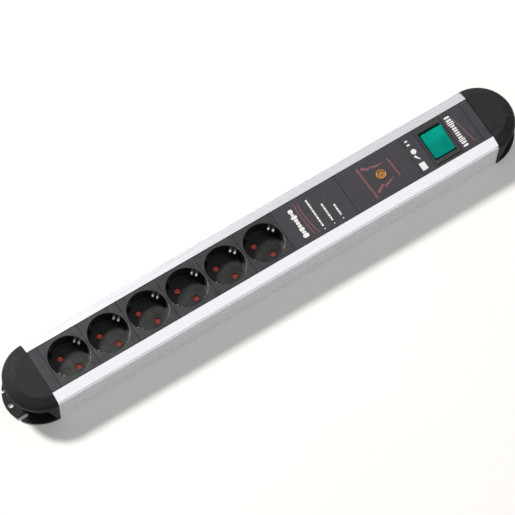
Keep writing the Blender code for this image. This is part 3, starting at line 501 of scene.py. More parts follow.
# The shutters glow a little, so that they read as bright at the bottom of their holes as in the photograph
SHUTTER = plastic("shutter_plastic_finish", (0.05, 0.006, 0.003), 0.7, wear=0, Specular_IOR_Level=0.15)
SHUTTER_GLOW = SHUTTER.node_tree.nodes["Principled BSDF"].inputs
SHUTTER_GLOW["Emission Color"].default_value = (1.0, 0.15, 0.10, 1)
SHUTTER_GLOW["Emission Strength"].default_value = 0.18
TRAY = plastic("tray_plastic_finish", (0.55, 0.55, 0.52), 0.5, mottle=0.05)
BOARD = plastic("board_laminate_finish", (0.05, 0.16, 0.07), 0.45, mottle=0.2)
VARISTOR = plastic("varistor_coating_finish", (0.03, 0.09, 0.35), 0.3, mottle=0.15)
RUBBER = plastic("gland_rubber_finish", (0.014, 0.014, 0.014), 0.7, grain=600, depth=0.00006)
BROWN = plastic("wire_brown_finish", (0.13, 0.045, 0.02), 0.45)
BLUE = plastic("wire_blue_finish", (0.02, 0.09, 0.45), 0.45)
GREEN_YELLOW = plastic("wire_green_yellow_finish", (0.35, 0.55, 0.05), 0.45)
BRASS = metal("contact_brass_finish", (0.80, 0.60, 0.30), 0.28)
STEEL = metal("bright_steel_finish", (0.80, 0.78, 0.74), 0.22)
# The rocker's -Y half is darkened by painted shade
ROCKER = clear_plastic(
    "rocker_green_with_painted_shade", (0.0003, 0.272, 0.206), 0.3, 0.05, painted_shade=0.32, Specular_IOR_Level=0.03
)
AMBER = clear_plastic("lens_amber_finish", (0.38, 0.165, 0.045), 0.2, 0.2)
GLASS = clear_plastic("lamp_glass_finish", (0.85, 0.78, 0.66), 0.08, 0.8)
WHITE_INK = ink("white_ink_finish", (0.62, 0.62, 0.60))
RED_INK = ink("red_ink_finish", (0.170, 0.050, 0.055))

SURFACES = {
    "anodised_aluminium": ALUMINIUM,
    "insert_plastic": INSERT,
    "cap_plastic": CAP,
    "socket_plastic": SOCKET,
    "shutter_plastic": SHUTTER,
    "tray_plastic": TRAY,
    "rocker_green": ROCKER,
    "lens_amber": AMBER,
    "contact_brass": BRASS,
    "bright_steel": STEEL,
    "board_laminate": BOARD,
    "varistor_coating": VARISTOR,
    "lamp_glass": GLASS,
    "gland_rubber": RUBBER,
    "wire_brown": BROWN,
    "wire_blue": BLUE,
    "wire_green_yellow": GREEN_YELLOW,
}


def dress_frame():
    """Every CAD node gets the material of its slot."""
    for part in frame["record"]["subparts"]:
        for held in frame["nodes"][part["node"]].material_slots:
            held.material = SURFACES[part["material_slot"]]


# ---------------------------------------------------------------- channel


def port_outline():
    """The open screw port on the +Y wall, from its upper root to its lower root."""
    root = 0.65 * PORT_OUTER
    wall_y = CHANNEL_HALF - WALL
    root_angle = asin(root / PORT_OUTER)
    outer_gap = asin(PORT_MOUTH / 2 / PORT_OUTER)
    inner_gap = asin(PORT_MOUTH / 2 / PORT_INNER)
    centre = (PORT_Y, PORT_Z)
    return [
        (wall_y, PORT_Z + root),
        *circle(centre, PORT_OUTER, 15, root_angle, pi - outer_gap),
        *circle(centre, PORT_INNER, 21, pi - inner_gap, inner_gap - pi),
        *circle(centre, PORT_OUTER, 15, outer_gap - pi, -root_angle),
        (wall_y, PORT_Z - root),
    ]


def channel_mesh():
    """The extrusion, with a shadow groove between each sloped shoulder and its side wall."""
    wall_y = CHANNEL_HALF - WALL
    shoulder = FACE - SHOULDER_DROP
    slope = (LIP_TOP - shoulder) / (CHANNEL_HALF - MOUTH_HALF)
    under = WALL * sqrt(1 + slope * slope)
    rim = CHANNEL_HALF - RIM_WIDTH
    band = rim - GROOVE_WIDTH
    band_z = shoulder + (CHANNEL_HALF - band) * slope
    outside = rounded(
        [
            (0, CHANNEL_FOOT, 0),
            (CHANNEL_HALF, CHANNEL_FOOT, 0.003),
            (CHANNEL_HALF, shoulder - 0.0010, 0.00015),
            (rim, shoulder - 0.0009, 0.0001),
            (rim - 0.0001, shoulder - GROOVE_DEPTH, 0.0001),
            (band, shoulder - GROOVE_DEPTH, 0.0001),
            (band, band_z, 0.0003),
            (MOUTH_HALF, LIP_TOP, 0.0004),
            (MOUTH_HALF, LIP_TOP - under, 0.0002),
            (wall_y, LIP_TOP - under - slope * (wall_y - MOUTH_HALF), 0.0004),
            (wall_y, SHELF_TOP, 0.0002),
            (SHELF_INNER, SHELF_TOP, 0.0002),
            (SHELF_INNER, SHELF_TOP - SHELF_THICKNESS, 0.0002),
            (wall_y, SHELF_TOP - SHELF_THICKNESS, 0),
        ],
        loop=False,
    )[1:]
    inner_foot = CHANNEL_FOOT + WALL
    inside = circle((wall_y - 0.0012, inner_foot + 0.0012), 0.0012, 6, 0, -pi / 2)
    right = [*outside, *port_outline(), *inside]
    left = [(-y, z) for y, z in reversed(right)]
    return prism(right + left, -CHANNEL_END, CHANNEL_END, "X")


# ---------------------------------------------------------------- inserts


def insert_mesh(length):
    """A blank insert centred on x = 0: a face with a rib and a tongue along both sides, edges softened."""
    rib = INSERT_HALF - PANEL_RIB
    right = [
        (rib, FACE - PANEL_SKIN),
        (rib, TONGUE_FOOT),
        (TONGUE_HALF, TONGUE_FOOT),
        (TONGUE_HALF, TONGUE_TOP),
        (INSERT_HALF, TONGUE_TOP),
        (INSERT_HALF, FACE),
    ]
    left = [(-y, z) for y, z in reversed(right)]
    return softened(prism(right + left, -length / 2, length / 2, "X"), PANEL_EDGE)


def middle_and_length(node):
    low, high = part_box(node)
    return (low.x + high.x) / 2, high.x - low.x


def face_groove(x, width=0.0004, depth=0.00025):
    """A cutter for a fine line across an insert's face."""
    return box((x - width / 2, x + width / 2), (-TONGUE_HALF, TONGUE_HALF), (FACE - depth, FACE + 0.001))


def add_inserts():
    """The plain inserts, two with a fine line, and the surge panel with its lens seat and board legs."""
    grooves = {"end_spacer_left": 0.0007, "blank_panel": 0.0104}
    for node in ("end_spacer_left", "end_spacer_right", "status_panel", "label_panel", "blank_panel"):
        x, length = middle_and_length(node)
        mesh = insert_mesh(length)
        if node in grooves:
            mesh = shaped(mesh, ("cut", face_groove(grooves[node])))
        add_piece(f"{node}_moulding", mesh, INSERT, [node], place=shift(x))
    x, length = middle_and_length("surge_panel")
    lens_x = middle_and_length("indicator_lens")[0] - x
    chamfer = 0.0003
    seat = [
        (LENS_SEAT_RADIUS, FACE - LENS_SEAT_DEPTH),
        (LENS_SEAT_RADIUS, FACE - chamfer),
        (LENS_SEAT_RADIUS + chamfer, FACE),
        (LENS_SEAT_RADIUS + chamfer, FACE + 0.001),
    ]
    steps = [("cut", turned(seat, 64, (lens_x, 0)))]
    leg_heights = (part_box("surge_circuit_board")[1].z + 0.0003, FACE - PANEL_SKIN / 2)
    for leg_x in (-length / 2 + 0.0038, length / 2 - 0.0047):
        for leg_y in (-PANEL_LEG_Y, PANEL_LEG_Y):
            steps.append(("add", rod(PANEL_LEG_RADIUS, *leg_heights, (leg_x, leg_y), sides=24)))
    mesh = shaped(insert_mesh(length), *steps)
    add_piece("surge_panel_moulding", mesh, INSERT, ["surge_panel"], place=shift(x))


# ---------------------------------------------------------------- sockets


def radial_block(angle, radii, width, heights, fillet):
    """A softened block that lies along a radius."""
    block = box(radii, (-width / 2, width / 2), heights)
    return moved(softened(block, fillet, 3), turn(angle))


def recess_profile():
    """The recess's cutter, from the floor's fillet up to the rounded rim."""
    floor = circle((RECESS_RADIUS - FLOOR_FILLET, RECESS_FLOOR + FLOOR_FILLET), FLOOR_FILLET, 6, -pi / 2, 0)
    rim = circle((RECESS_RADIUS + RIM_FILLET, FACE - RIM_FILLET), RIM_FILLET, 7, pi, pi / 2)
    return [*floor, *rim, (RECESS_RADIUS + RIM_FILLET, FACE + 0.002)]


def socket_mesh(length):
    """A socket insert: its cup, two guide ribs, two clip slots, two pin holes and the shutter's post."""
    cup = turned([(RECESS_RADIUS + CUP_WALL, CUP_FOOT), (RECESS_RADIUS + CUP_WALL, FACE - PANEL_SKIN / 2)])
    steps = [("add", cup), ("cut", turned(recess_profile()))]
    rib_heights = (RECESS_FLOOR - 0.0007, FACE - 0.003)
    rib_radii = (GUIDE_RIB_INNER, RECESS_RADIUS + 0.0007)
    slot_heights = (CUP_FOOT - 0.001, FACE - 0.0026)
    slot_radii = (RECESS_RADIUS - 0.0008, CLIP_SLOT_OUTER)
    hole = [
        (PIN_HOLE_RADIUS, CUP_FOOT - 0.001),
        (PIN_HOLE_RADIUS, CUP_FOOT + 0.0002),
        (PIN_HOLE_MOUTH, RECESS_FLOOR),
        (PIN_HOLE_MOUTH, RECESS_FLOOR + 0.001),
    ]
    ring = [  # a shallow mark around each hole
        (0.0042, RECESS_FLOOR - 0.00025),
        (0.0046, RECESS_FLOOR - 0.00025),
        (0.0047, RECESS_FLOOR + 0.001),
        (0.0041, RECESS_FLOOR + 0.001),
    ]
    for half_turn in (0, pi):
        rib = radial_block(PIN_ANGLE + half_turn, rib_radii, GUIDE_RIB_WIDTH, rib_heights, 0.0003)
        steps.append(("add", rib))
    for half_turn in (0, pi):
        slot = radial_block(EARTH_ANGLE + half_turn, slot_radii, CLIP_SLOT_WIDTH, slot_heights, 0.0003)
        steps.append(("cut", slot))
        x = PIN_OFFSET * cos(PIN_ANGLE + half_turn)
        y = PIN_OFFSET * sin(PIN_ANGLE + half_turn)
        steps.append(("cut", turned(hole, 48, (x, y))))
        steps.append(("cut", moved(ring_turned(ring, 64), shift(x, y))))
    steps.append(("add", rod(0.0016, POST_FOOT, RECESS_FLOOR - 0.0007, sides=24)))
    return shaped(insert_mesh(length), *steps)


def clip_path():
    """A contact tine as (radius, z): from the bar up, leaning into the recess, with a flat lip, and back."""
    wall = RECESS_RADIUS + 0.0006
    top = FACE - 0.0036
    corners = [
        (wall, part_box("earth_busbar")[0].z + 0.0003, 0),
        (wall, RECESS_FLOOR + 0.0030, 0.002),
        (wall - 0.0034, RECESS_FLOOR + 0.0078, 0.0012),
        (wall - 0.0034, RECESS_FLOOR + 0.0098, 0.0004),
        (wall - 0.0009, RECESS_FLOOR + 0.0102, 0.0004),
        (wall - 0.0003, top - 0.0006, 0.0006),
        (wall + 0.0003, top, 0),
    ]
    return rounded(corners, 8, loop=False)


def thick_line(path, thickness):
    """A closed outline around an open path, with the given thickness on its left side."""
    points = [Vector(point) for point in path]
    back = []
    for i, point in enumerate(points):
        ahead = points[min(i + 1, len(points) - 1)] - points[max(i - 1, 0)]
        back.append(tuple(point + Vector((ahead.y, -ahead.x)).normalized() * thickness))
    return [tuple(point) for point in points] + back[::-1]


def add_earth_bar():
    """The plated earth bar with a pair of two-tined clips at each socket."""
    low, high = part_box("earth_busbar")
    bar_top = low.z + CLIP_SHEET
    bar = box((low.x + 0.012, high.x), (-EARTH_HALF_WIDTH, EARTH_HALF_WIDTH), (low.z, bar_top))
    outline = thick_line(clip_path(), -CLIP_SHEET * 0.9)
    steps = []
    reach = RECESS_RADIUS + 0.0006 + CLIP_SHEET / 2
    for number in range(1, SOCKET_COUNT + 1):
        x = middle_and_length(f"socket_body_{number}")[0]
        yoke = box((-reach, reach), (-0.0018, 0.0018), (low.z - 0.0001, bar_top + 0.0001))
        steps.append(("add", moved(yoke, shift(x) @ turn(EARTH_ANGLE))))
        for half_turn in (0, pi):
            for side in (-1, 1):
                middle = side * TINE_OFFSET
                tine = prism(outline, middle - TINE_HALF_WIDTH, middle + TINE_HALF_WIDTH, "Y")
                steps.append(("add", moved(tine, shift(x) @ turn(EARTH_ANGLE + half_turn))))
            foot = box((RECESS_RADIUS, reach), (-0.0028, 0.0028), (low.z - 0.00005, low.z + 0.004))
            steps.append(("add", moved(foot, shift(x) @ turn(EARTH_ANGLE + half_turn))))
    mesh = shaped(softened(bar, 0.00012, 2), *steps)
    add_piece("earth_bar_plated", mesh, STEEL, ["earth_busbar"])


def add_sockets():
    """Six equal sockets and the earth bar under them."""
    mesh = socket_mesh(middle_and_length("socket_body_1")[1])
    for number in range(1, SOCKET_COUNT + 1):
        node = f"socket_body_{number}"
        x = middle_and_length(node)[0]
        add_piece(f"socket_{number}_moulding", mesh, SOCKET, [node], place=shift(x))
    add_earth_bar()


# ---------------------------------------------------------------- print


def stroke(points, width):
    """A flat ink stroke through points on the insert face; width is one number or one for each point."""
    places = [Vector(point) for point in points]
    widths = width if isinstance(width, (list, tuple)) else [width] * len(places)
    left, right = [], []
    for i, point in enumerate(places):
        ahead = (places[min(i + 1, len(places) - 1)] - places[max(i - 1, 0)]).normalized()
        side = Vector((-ahead.y, ahead.x)) * widths[i] / 2
        left.append(tuple(point + side))
        right.append(tuple(point - side))
    return prism(left + right[::-1], FACE - INK_SINK, FACE + INK_RISE)


def arc_points(start, middle, end, count=12):
    """A parabola through three points."""
    a, b, c = (Vector(point) for point in (start, middle, end))
    bend = 2 * b - (a + c) / 2
    steps = [i / (count - 1) for i in range(count)]
    return [tuple((1 - t) ** 2 * a + 2 * t * (1 - t) * bend + t * t * c) for t in steps]


def dashes(start, end, width, lengths, gap):
    """Strokes of repeating lengths from start to end."""
    a, b = Vector(start), Vector(end)
    along = (b - a).normalized()
    total = (b - a).length
    done = 0.0
    made = []
    number = 0
    while done < total - 0.0005:
        size = min(lengths[number % len(lengths)], total - done)
        made.append(stroke([tuple(a + along * done), tuple(a + along * (done + size))], width))
        done += size + gap
        number += 1
    return made


def block(x, y, radius):
    """A flat rounded ink block between limits in x and y."""
    outline = rounded_rectangle((x[1] - x[0]) / 2, (y[1] - y[0]) / 2, radius, 4)
    middle_x, middle_y = (x[0] + x[1]) / 2, (y[0] + y[1]) / 2
    outline = [(a + middle_x, b + middle_y) for a, b in outline]
    return prism(outline, FACE - INK_SINK, FACE + INK_RISE)


def joined(meshes):
    """Separate meshes as one."""
    work = bmesh.new()
    for mesh in meshes:
        work.from_mesh(mesh)
    result = bpy.data.meshes.new("joined")
    work.to_mesh(result)
    work.free()
    return result


def block_row(x, y_start, y_end, shares, gap, bars):
    """A row of rounded marks along Y that fills the stretch; shares are (length, depth) for each mark.

    A mark is one block or two fine bars side by side.
    """
    room = abs(y_end - y_start) - gap * (len(shares) - 1)
    unit = room / sum(length for length, _ in shares)
    direction = -1 if y_end < y_start else 1
    middle = (x[0] + x[1]) / 2
    y = y_start
    made = []
    for length, depth in shares:
        far = y + direction * unit * length
        half = (x[1] - x[0]) / 2 * depth
        stretches = ((0, 0.38), (0.62, 1)) if bars == 2 else ((0, 1),)
        for stretch in stretches:
            start, end = sorted(y + (far - y) * share for share in stretch)
            radius = min(end - start, 2 * half) * 0.45
            made.append(block((middle - half, middle + half), (start, end), radius=radius))
        y = far + direction * gap
    return made


def add_print():
    """Generic marks where the photograph has print: rows of blocks, dashed lines, dots and red strokes."""
    white = []
    # Status panel: a bold row, then three lines with a dot each
    bold = [(1.0, 0.7), (0.5, 0.5), (0.6, 0.95), (0.7, 0.6), (0.6, 0.6)]
    bold += [(0.6, 0.6), (0.9, 0.75), (0.5, 0.6), (0.9, 0.9)]
    white += block_row((0.0338, 0.0405), 0.0152, -0.0168, bold, 0.0003, 1)
    lines = ((0.0557, 0.0155, -0.0155), (0.0662, 0.0046, -0.0150), (0.0760, -0.0018, -0.0147))
    for x, start, end in lines:
        white += dashes((x, start), (x, end), 0.0017, (0.0021, 0.0014, 0.0028), 0.0005)
        white.append(rod(0.0006, FACE - INK_SINK, FACE + INK_RISE, (x, -0.0183), sides=20))
    # Label panel: a small generic row
    white.append(block((0.1665, 0.1695), (0.0150, 0.0166), radius=0.0005))
    white.append(block((0.1665, 0.1695), (0.0108, 0.0124), radius=0.0005))
    white.append(turned([(0.0027, FACE - INK_SINK), (0.0027, FACE + INK_RISE)], 32, (0.1686, 0.0034)))
    white.append(stroke([(0.1668, -0.0010), (0.1700, -0.0062)], (0.0024, 0.0008)))
    white.append(block((0.1655, 0.1715), (-0.0180, -0.0098), radius=0.0005))
    # Blank panel: a second bold row
    bold = [(1.0, 0.85), (0.6, 1.0), (0.9, 0.7), (0.8, 0.7), (0.8, 0.7), (0.5, 0.95), (1.0, 0.8)]
    white += block_row((0.2110, 0.2178), 0.0172, -0.0180, bold, 0.0008, 2)
    add_piece("white_print", joined(white), WHITE_INK)
    red = [
        stroke(arc_points((0.0436, 0.0180), (0.0432, 0.0020), (0.0446, -0.0170)), 0.0008),
        stroke(arc_points((0.0466, 0.0160), (0.0467, -0.0031), (0.0498, -0.0190)), 0.0008),
        stroke(arc_points((0.2187, 0.0122), (0.2210, -0.0007), (0.2242, -0.0177)), 0.0009),
        stroke([(0.1166, 0.0148), (0.1223, 0.0109), (0.1255, 0.0123), (0.1278, 0.0101), (0.1382, 0.0098)],
               (0.0030, 0.0024, 0.0014, 0.0026, 0.0005)),
        stroke([(0.1176, -0.0142), (0.1257, -0.0096), (0.1270, -0.0121), (0.1393, -0.0079)],
               (0.0030, 0.0020, 0.0026, 0.0005)),
    ]
    red += dashes((0.1129, 0.0172), (0.1142, -0.0187), 0.0019, (0.0018, 0.0026), 0.0005)
    red += dashes((0.1434, 0.0108), (0.1449, -0.0097), 0.0016, (0.0018, 0.0026), 0.0005)
    add_piece("red_print", joined(red), RED_INK)


# ---------------------------------------------------------------- lamp lens


def add_lens():
    """The pilot lamp's amber lens: a rolled rim around a dished face with a small centre boss."""
    low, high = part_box("indicator_lens")
    x, length = middle_and_length("indicator_lens")
    radius = length / 2
    crown = circle((radius - 0.0011, high.z - 0.0008), 0.0008, 9, 0, pi)
    profile = [
        (LENS_STEM, low.z),
        (LENS_STEM, FACE + 0.0003),
        (radius - 0.0003, FACE + 0.0003),
        *crown,
        (radius - 0.0022, high.z - 0.0011),
        (0.0014, high.z - 0.0011),
        *circle((0, high.z - 0.0011), 0.0012, 6, 0.1, pi / 2 - 0.05),
    ]
    lens = moved(turned(profile, 64), shift(x))
    add_piece("indicator_lens_moulding", lens, AMBER, ["indicator_lens"])


# ---------------------------------------------------------------- switch


def rocker_joint():
    return next(joint for joint in frame["joints"] if joint["name"] == "rocker_tilt")


def frame_rings(half_x, half_y, corner, profile):
    """Rounded-rectangle rings that follow (inset, z) pairs."""
    rings = []
    for inset, z in profile:
        ring = rounded_rectangle(half_x - inset, half_y - inset, max(corner - inset, 0.0003), 6)
        rings.append([(x, y, z) for x, y in ring])
    return rings_mesh(rings)


def add_switch_housing():
    """The switch insert: a raised rounded frame around a flared well, with its shell and terminal slots."""
    low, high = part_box("switch_housing")
    x, length = middle_and_length("switch_housing")
    top = high.z
    turns = (pi / 8, pi / 4, 3 * pi / 8, pi / 2)
    eased = [(BEZEL_EASE * (1 - cos(a)), top - BEZEL_EASE * (1 - sin(a))) for a in turns]
    bezel = frame_rings(*BEZEL_HALF, 0.0016, [(0, FACE - 0.001), (0, top - BEZEL_EASE), *eased])
    well = [
        (0, low.z + 0.0016),
        (0, top - 0.0016),
        (-0.0002, top - 0.0012),
        (0.0003 - WELL_FLARE, top - 0.0002),
        (-0.0001 - WELL_FLARE, top),
        (-0.0001 - WELL_FLARE, top + 0.001),
    ]
    half_x, half_y = SHELL_HALF
    shell = box((-half_x, half_x), (-half_y, half_y), (low.z, FACE - PANEL_SKIN / 2))
    pivot_z = rocker_joint()["pos_m"][2]
    steps = [
        ("add", bezel),
        ("add", softened(shell, 0.0003)),
        ("cut", frame_rings(*WELL_HALF, 0.0006, well)),
        ("cut", rod(TRUNNION_RADIUS + 0.0003, -0.02, 0.02, (0, pivot_z), "X", 32)),
    ]
    for terminal in ("live_inlet", "live_outlet", "neutral_inlet", "neutral_outlet"):
        tab_low, tab_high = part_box(f"switch_terminal_{terminal}")
        hole_x = (tab_low.x - x - 0.0003, tab_high.x - x + 0.0003)
        hole_y = (tab_low.y - 0.0003, tab_high.y + 0.0003)
        steps.append(("cut", box(hole_x, hole_y, (low.z - 0.001, low.z + 0.003))))
    mesh = shaped(insert_mesh(length), *steps)
    add_piece("switch_frame_moulding", mesh, FRAME, ["switch_housing"], place=shift(x))


def rocker_crown(half_span, end, fall=0.0):
    """The rocker's top line along Y: two slightly hollow slopes that meet in a crease. Fall lowers it all."""
    steps = 14
    return [
        (half_span * i / steps, ROCKER_MIDDLE + (end - ROCKER_MIDDLE) * abs(i / steps) ** 1.25 - fall)
        for i in range(-steps, steps + 1)
    ]


def add_rocker():
    """The lit rocker: two hollow slopes between thin side ribs, on trunnions."""
    pivot = rocker_joint()["pos_m"]
    span, half = ROCKER_HALF_SPAN, ROCKER_HALF_LENGTH
    nose = ROCKER_END_RADIUS
    crown = rocker_crown(span - nose, ROCKER_END)
    near_end = circle((nose - span, ROCKER_END - nose), nose, 6, pi, pi / 2)[:-1]
    far_end = circle((span - nose, ROCKER_END - nose), nose, 6, pi / 2, 0)[1:]
    foot = [(span + 0.0004, 0.0025), (span, -0.0015), (0.0070, -0.0040), (0.0030, -0.0065)]
    outline = [*near_end, *crown, *far_end, *foot, *[(-y, z) for y, z in reversed(foot)]]
    core = softened(prism(outline, -half, half, "X"), 0.00035, 3, 50)
    past = span + 0.001
    hollow = [*rocker_crown(past, ROCKER_END + 0.0001, 0.0005), (past, 0.012), (-past, 0.012)]
    rib = 0.0014
    steps = [
        ("cut", prism(hollow, rib - half, half - rib, "X")),
        ("add", rod(TRUNNION_RADIUS, -half - 0.0011, half + 0.0011, axis="X", sides=32)),
        ("cut", box((-0.003, 0.003), (-0.006, 0.006), (-0.009, 0.0045))),  # room for the lamp
    ]
    for node in ("switch_plunger_live", "switch_plunger_neutral"):
        x = middle_and_length(node)[0] - pivot[0]
        steps.append(("cut", rod(PLUNGER_BORE, -0.009, 0.002, (x, 0), sides=24)))
    place = shift(*pivot) @ turn(ROCKER_TILT, "X")
    mesh = shaped(core, *steps)
    add_piece("rocker_moulding", mesh, ROCKER, ["switch_rocker"], body="rocker", place=place)


# ---------------------------------------------------------------- end caps


def half_round(radius, start, count=65):
    """Plan outline of a cap from -Y round through +X to +Y, closed at x = start."""
    turns = [pi * (i / (count - 1) - 0.5) for i in range(count)]
    squeeze = CAP_REACH / CAP_HALF_WIDTH
    curve = [(radius * squeeze * cos(a), radius * sin(a)) for a in turns[1:-1]]
    return [(start, -radius), *curve, (start, radius)]


def half_turned(profile, start):
    """Half a turned solid that follows (radius, z) pairs, closed at x = start."""
    return rings_mesh([[(*point, z) for point in half_round(radius, start)] for radius, z in profile])


def dome_mesh():
    """The domed top with its flat plateau, a turned-down shoulder and a rolled lower rim."""
    profile = rounded(
        [
            (0.0320, DOME_FOOT, 0),
            (CAP_HALF_WIDTH - 0.0004, DOME_FOOT, 0.0005),
            (CAP_HALF_WIDTH, DOME_FOOT + 0.0042, 0.004),
            (CAP_HALF_WIDTH - 0.0024, DOME_FOOT + 0.0080, 0.003),
            (PLATEAU_RADIUS + 0.0011, CAP_TOP - 0.0006, 0.0005),
            (PLATEAU_RADIUS + 0.0004, CAP_TOP - 0.0004, 0.0002),
            (PLATEAU_RADIUS, CAP_TOP, 0.0002),
            (0.0200, CAP_TOP, 0),
        ],
        6,
        loop=False,
    )
    return half_turned(profile[1:-1], 0.0001)


def flange_mesh():
    """The round foot with its fixing hole and two open slots, all edges softened."""
    half = CAP_HALF_WIDTH - 0.0003
    rim = [(FLANGE_REACH * x / CAP_REACH, y) for x, y in half_round(half, 0.0)[1:-1]]
    disc = prism([(0.0002, -half), *rim, (0.0002, half)], 0, FLANGE_THICKNESS)
    through = (-0.001, FLANGE_THICKNESS + 0.001)
    steps = [("cut", rod(FLANGE_HOLE_RADIUS, *through, (FLANGE_HOLE_X, 0), sides=40))]
    for side in (-1, 1):
        end = (FLANGE_SLOT_END + FLANGE_SLOT_HALF, side * FLANGE_SLOT_Y)
        outline = circle(end, FLANGE_SLOT_HALF, 13, pi / 2, 3 * pi / 2)
        outline += [(0.05, end[1] - FLANGE_SLOT_HALF), (0.05, end[1] + FLANGE_SLOT_HALF)]
        steps.append(("cut", prism(outline, *through)))
    return softened(shaped(disc, *steps), 0.0005, 3, 40)


def cap_mesh(with_inlet):
    """A hollow end cap that points along +X from its joint face, as solids that run into each other."""
    slab_top = DOME_FOOT + 0.001
    slope = (CHEEK_TOP - CHEEK_FOOT) / DOME_FOOT
    overrun = 0.002
    under = [
        (CHEEK_FOOT - overrun * slope, -overrun),
        (0.05, -overrun),
        (0.05, slab_top + overrun),
        (CHEEK_TOP + 2 * overrun * slope, slab_top + overrun),
    ]
    hollow = ("cut", rod(HUB_RADIUS - CAP_WALL, FLANGE_THICKNESS, CAP_TOP - CAP_WALL, sides=96))
    cheek_cuts = [("cut", prism(under, -0.05, 0.05, "Y")), hollow]
    for side in (-1, 1):
        seat = (side * PORT_Y, PORT_Z)
        cheek_cuts.append(("cut", rod(PORT_INNER + 0.0003, -0.001, 0.008, seat, "X", 24)))
        cheek_cuts.append(("cut", rod(SCREW_HEAD_RADIUS + 0.0003, SCREW_SEAT, 0.012, seat, "X", 40)))
    hub_cuts = [hollow]
    extra = []
    if with_inlet:
        bore = ("cut", rod(INLET_BODY + 0.0003, 0.015, 0.04, (0, INLET_Z), "X", 64))
        boss = rod(INLET_BOSS, 0.020, HUB_RADIUS + 0.00015, (0, INLET_Z), "X", 64)
        hub_cuts.append(bore)
        extra.append(shaped(boss, hollow, bore))
    cheek = prism(half_round(CAP_HALF_WIDTH - 0.0002, 0.00015), 0.0003, slab_top)
    return joined(
        [
            shaped(dome_mesh(), hollow),
            shaped(cheek, *cheek_cuts),
            shaped(half_turned([(HUB_RADIUS, 0.0004), (HUB_RADIUS, slab_top - 0.0001)], 0.0002), *hub_cuts),
            shaped(half_turned(HUB_ROOT, 0.00025), hollow),
            flange_mesh(),
            *extra,
        ]
    )


def cap_screw_mesh():
    """A pan-head screw along X with a cross recess; its head seats at x = 0."""
    shank = PORT_INNER - 0.0003
    head = circle((SCREW_HEAD_RADIUS - 0.0012, SCREW_HEAD_HEIGHT - 0.0012), 0.0012, 6, 0, pi / 2)
    root = shank * 0.8
    profile = [(shank * 0.4, -SCREW_LENGTH)]
    for number in range(SCREW_TURNS):
        z = 0.0012 - SCREW_LENGTH + number * SCREW_PITCH
        for radius, share in ((root, 0), (shank, 0.4), (shank, 0.55), (root, 0.95)):
            profile.append((radius, z + SCREW_PITCH * share))
    profile += [(shank, -0.0004), (shank, 0), (SCREW_HEAD_RADIUS, 0), *head]
    long, thin = (-CROSS_HALF_LENGTH, CROSS_HALF_LENGTH), (-CROSS_HALF_WIDTH, CROSS_HALF_WIDTH)
    heights = (SCREW_HEAD_HEIGHT - 0.0011, SCREW_HEAD_HEIGHT + 0.001)
    cuts = [("cut", box(x, y, heights)) for x, y in ((long, thin), (thin, long))]
    return moved(shaped(turned(profile, 40), *cuts), turn(pi / 2, "Y"))


def gland_mesh():
    """The cable inlet's ribbed bushing, along X."""
    seat = HUB_RADIUS + 0.00045
    profile = [
        (INLET_BORE, 0.0215),
        (INLET_BODY, 0.0215),
        (INLET_BODY, seat),
        (INLET_COLLAR - 0.0003, seat),
        (INLET_COLLAR, seat + 0.0003),
        (INLET_COLLAR, seat + 0.0017),
        (INLET_COLLAR - 0.0003, seat + 0.002),
    ]
    for rib in range(3):
        start = seat + 0.0024 + rib * 0.0013
        if start + 0.0012 < GLAND_END:
            profile += [(INLET_BODY - 0.0010, start), (INLET_BODY - 0.0004, start + 0.0003)]
            profile += [(INLET_BODY - 0.0004, start + 0.0007), (INLET_BODY - 0.0010, start + 0.0010)]
    profile += [(INLET_BODY - 0.0010, GLAND_END - 0.0002), (INLET_BODY - 0.0012, GLAND_END)]
    profile += [(INLET_BORE + 0.0003, GLAND_END), (INLET_BORE, GLAND_END - 0.0003)]
    return moved(ring_turned(profile), turn(pi / 2, "Y"))


def add_end_caps():
    """Both caps with their two screws, and the cable inlet's bushing in the right one."""
    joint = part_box("end_cap_right")[0].x - 0.0001
    screw = cap_screw_mesh()
    for side, name, angle in ((-1, "left", pi), (1, "right", 0)):
        place = shift(side * joint) @ turn(angle)
        cap = cap_mesh(with_inlet=side > 0)
        add_piece(f"{name}_cap_moulding", cap, CAP, [f"end_cap_{name}"], place=place)
        for number, y in enumerate((-PORT_Y, PORT_Y), 1):
            head = shift(side * (joint + SCREW_SEAT + 0.0003), y, PORT_Z) @ turn(angle)
            node = f"cap_screw_{name}_{number}"
            add_piece(f"{name}_cap_screw_{number}_cross", screw, STEEL, [node], place=head)
    place = shift(joint, 0, INLET_Z)
    add_piece("cable_gland_ribbed", gland_mesh(), RUBBER, ["cable_gland"], place=place)


# ---------------------------------------------------------------- stage, camera and light


def add_floor():
    """A plain pale floor that glows faintly, which softens the shadow beside the strip."""
    mesh = bpy.data.meshes.new("floor")
    half = 20.0
    corners = [(-half, -half, 0), (half, -half, 0), (half, half, 0), (-half, half, 0)]
    mesh.from_pydata(corners, [], [(0, 1, 2, 3)])
    floor = bpy.data.objects.new("floor", mesh)
    bpy.context.scene.collection.objects.link(floor)
    made = Surface("floor_finish", 0.9)
    made.colour(made.mix(made.noise(3, detail=4), (0.60, 0.59, 0.57), (0.63, 0.62, 0.60)))
    made.bump(made.noise(400), 0.00005)
    made.shader.inputs["Specular IOR Level"].default_value = 0.1
    made.shader.inputs["Emission Color"].default_value = (1.0, 0.98, 0.95, 1)
    made.shader.inputs["Emission Strength"].default_value = 0.15
    mesh.materials.append(made.material)


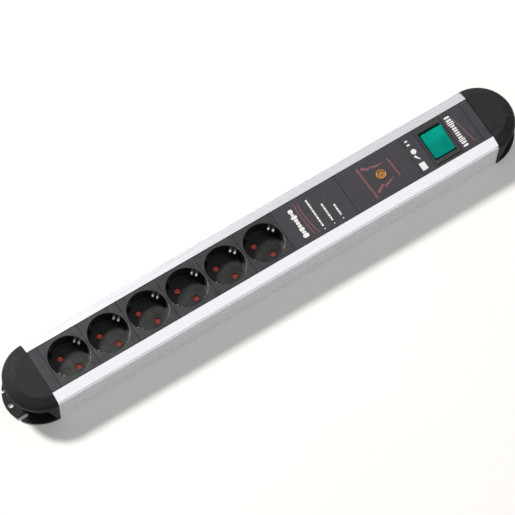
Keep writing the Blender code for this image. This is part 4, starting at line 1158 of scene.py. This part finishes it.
def add_camera():
    """The camera at the photograph's angle, a little rolled."""
    azimuth, elevation, roll = radians(-34.82), radians(67.15), radians(2.49)
    back = Vector((sin(azimuth) * cos(elevation), -cos(azimuth) * cos(elevation), sin(elevation)))
    right = Vector((cos(azimuth), sin(azimuth), 0))
    up = back.cross(right)
    turned_right = right * cos(roll) + up * sin(roll)
    turned_up = up * cos(roll) - right * sin(roll)
    data = bpy.data.cameras.new("camera")
    data.lens = 197.8
    data.clip_start = 0.1
    camera = bpy.data.objects.new("camera", data)
    axes = Matrix((turned_right, turned_up, back)).transposed().to_4x4()
    camera.matrix_world = Matrix.Translation((-0.5912, -0.8407, 2.4432)) @ axes
    bpy.context.scene.collection.objects.link(camera)
    bpy.context.scene.camera = camera


def add_softbox(name, direction, distance, size, radiance, colour=(1, 1, 1)):
    """A panel that faces the strip from a direction; size is its width and height."""
    data = bpy.data.lights.new(name, "AREA")
    data.shape = "RECTANGLE"
    data.size, data.size_y = size
    data.energy = radiance * PANEL_WATTS * size[0] * size[1]
    data.color = colour
    light = bpy.data.objects.new(name, data)
    towards = Vector(direction).normalized()
    light.location = towards * distance
    light.rotation_mode = "QUATERNION"
    light.rotation_quaternion = towards.to_track_quat("Z", "Y")
    light.visible_camera = False
    bpy.context.scene.collection.objects.link(light)


def add_light():
    """A dim even sky, a small key lamp from behind, and soft panels."""
    world = bpy.data.worlds.new("studio")
    world.use_nodes = True
    background = world.node_tree.nodes["Background"]
    background.inputs["Color"].default_value = (0.96, 0.97, 1.0, 1)
    background.inputs["Strength"].default_value = 0.15
    bpy.context.scene.world = world
    add_softbox("key", (-1.02, 2.31, 2.97), 3.9, (0.6, 0.6), 190.05, (1.0, 0.99, 0.97))
    # The two shoulders mirror these two panels
    add_softbox("near_panel", (0.222, -0.487, 0.846), 3.0, (3.2, 3.2), 0.88, (0.975, 0.965, 1.0))
    add_softbox("far_panel", (0.222, 0.905, 0.363), 3.0, (3.4, 2.0), 0.55, (0.97, 0.96, 1.0))
    add_softbox("side_panel", (0.62, 0.35, 0.70), 3.0, (1.2, 1.2), 1.2)
    # The lips of the contact clips mirror this one
    add_softbox("accent", (0.02, 0.16, 0.98), 3.0, (0.7, 0.7), 1.0)
    bpy.context.scene.view_settings.view_transform = "Standard"


dress_frame()
add_piece("channel_profile", channel_mesh(), ALUMINIUM, ["aluminium_channel"])
add_inserts()
add_sockets()
add_print()
add_lens()
add_switch_housing()
add_rocker()
add_end_caps()
add_floor()
add_camera()
add_light()
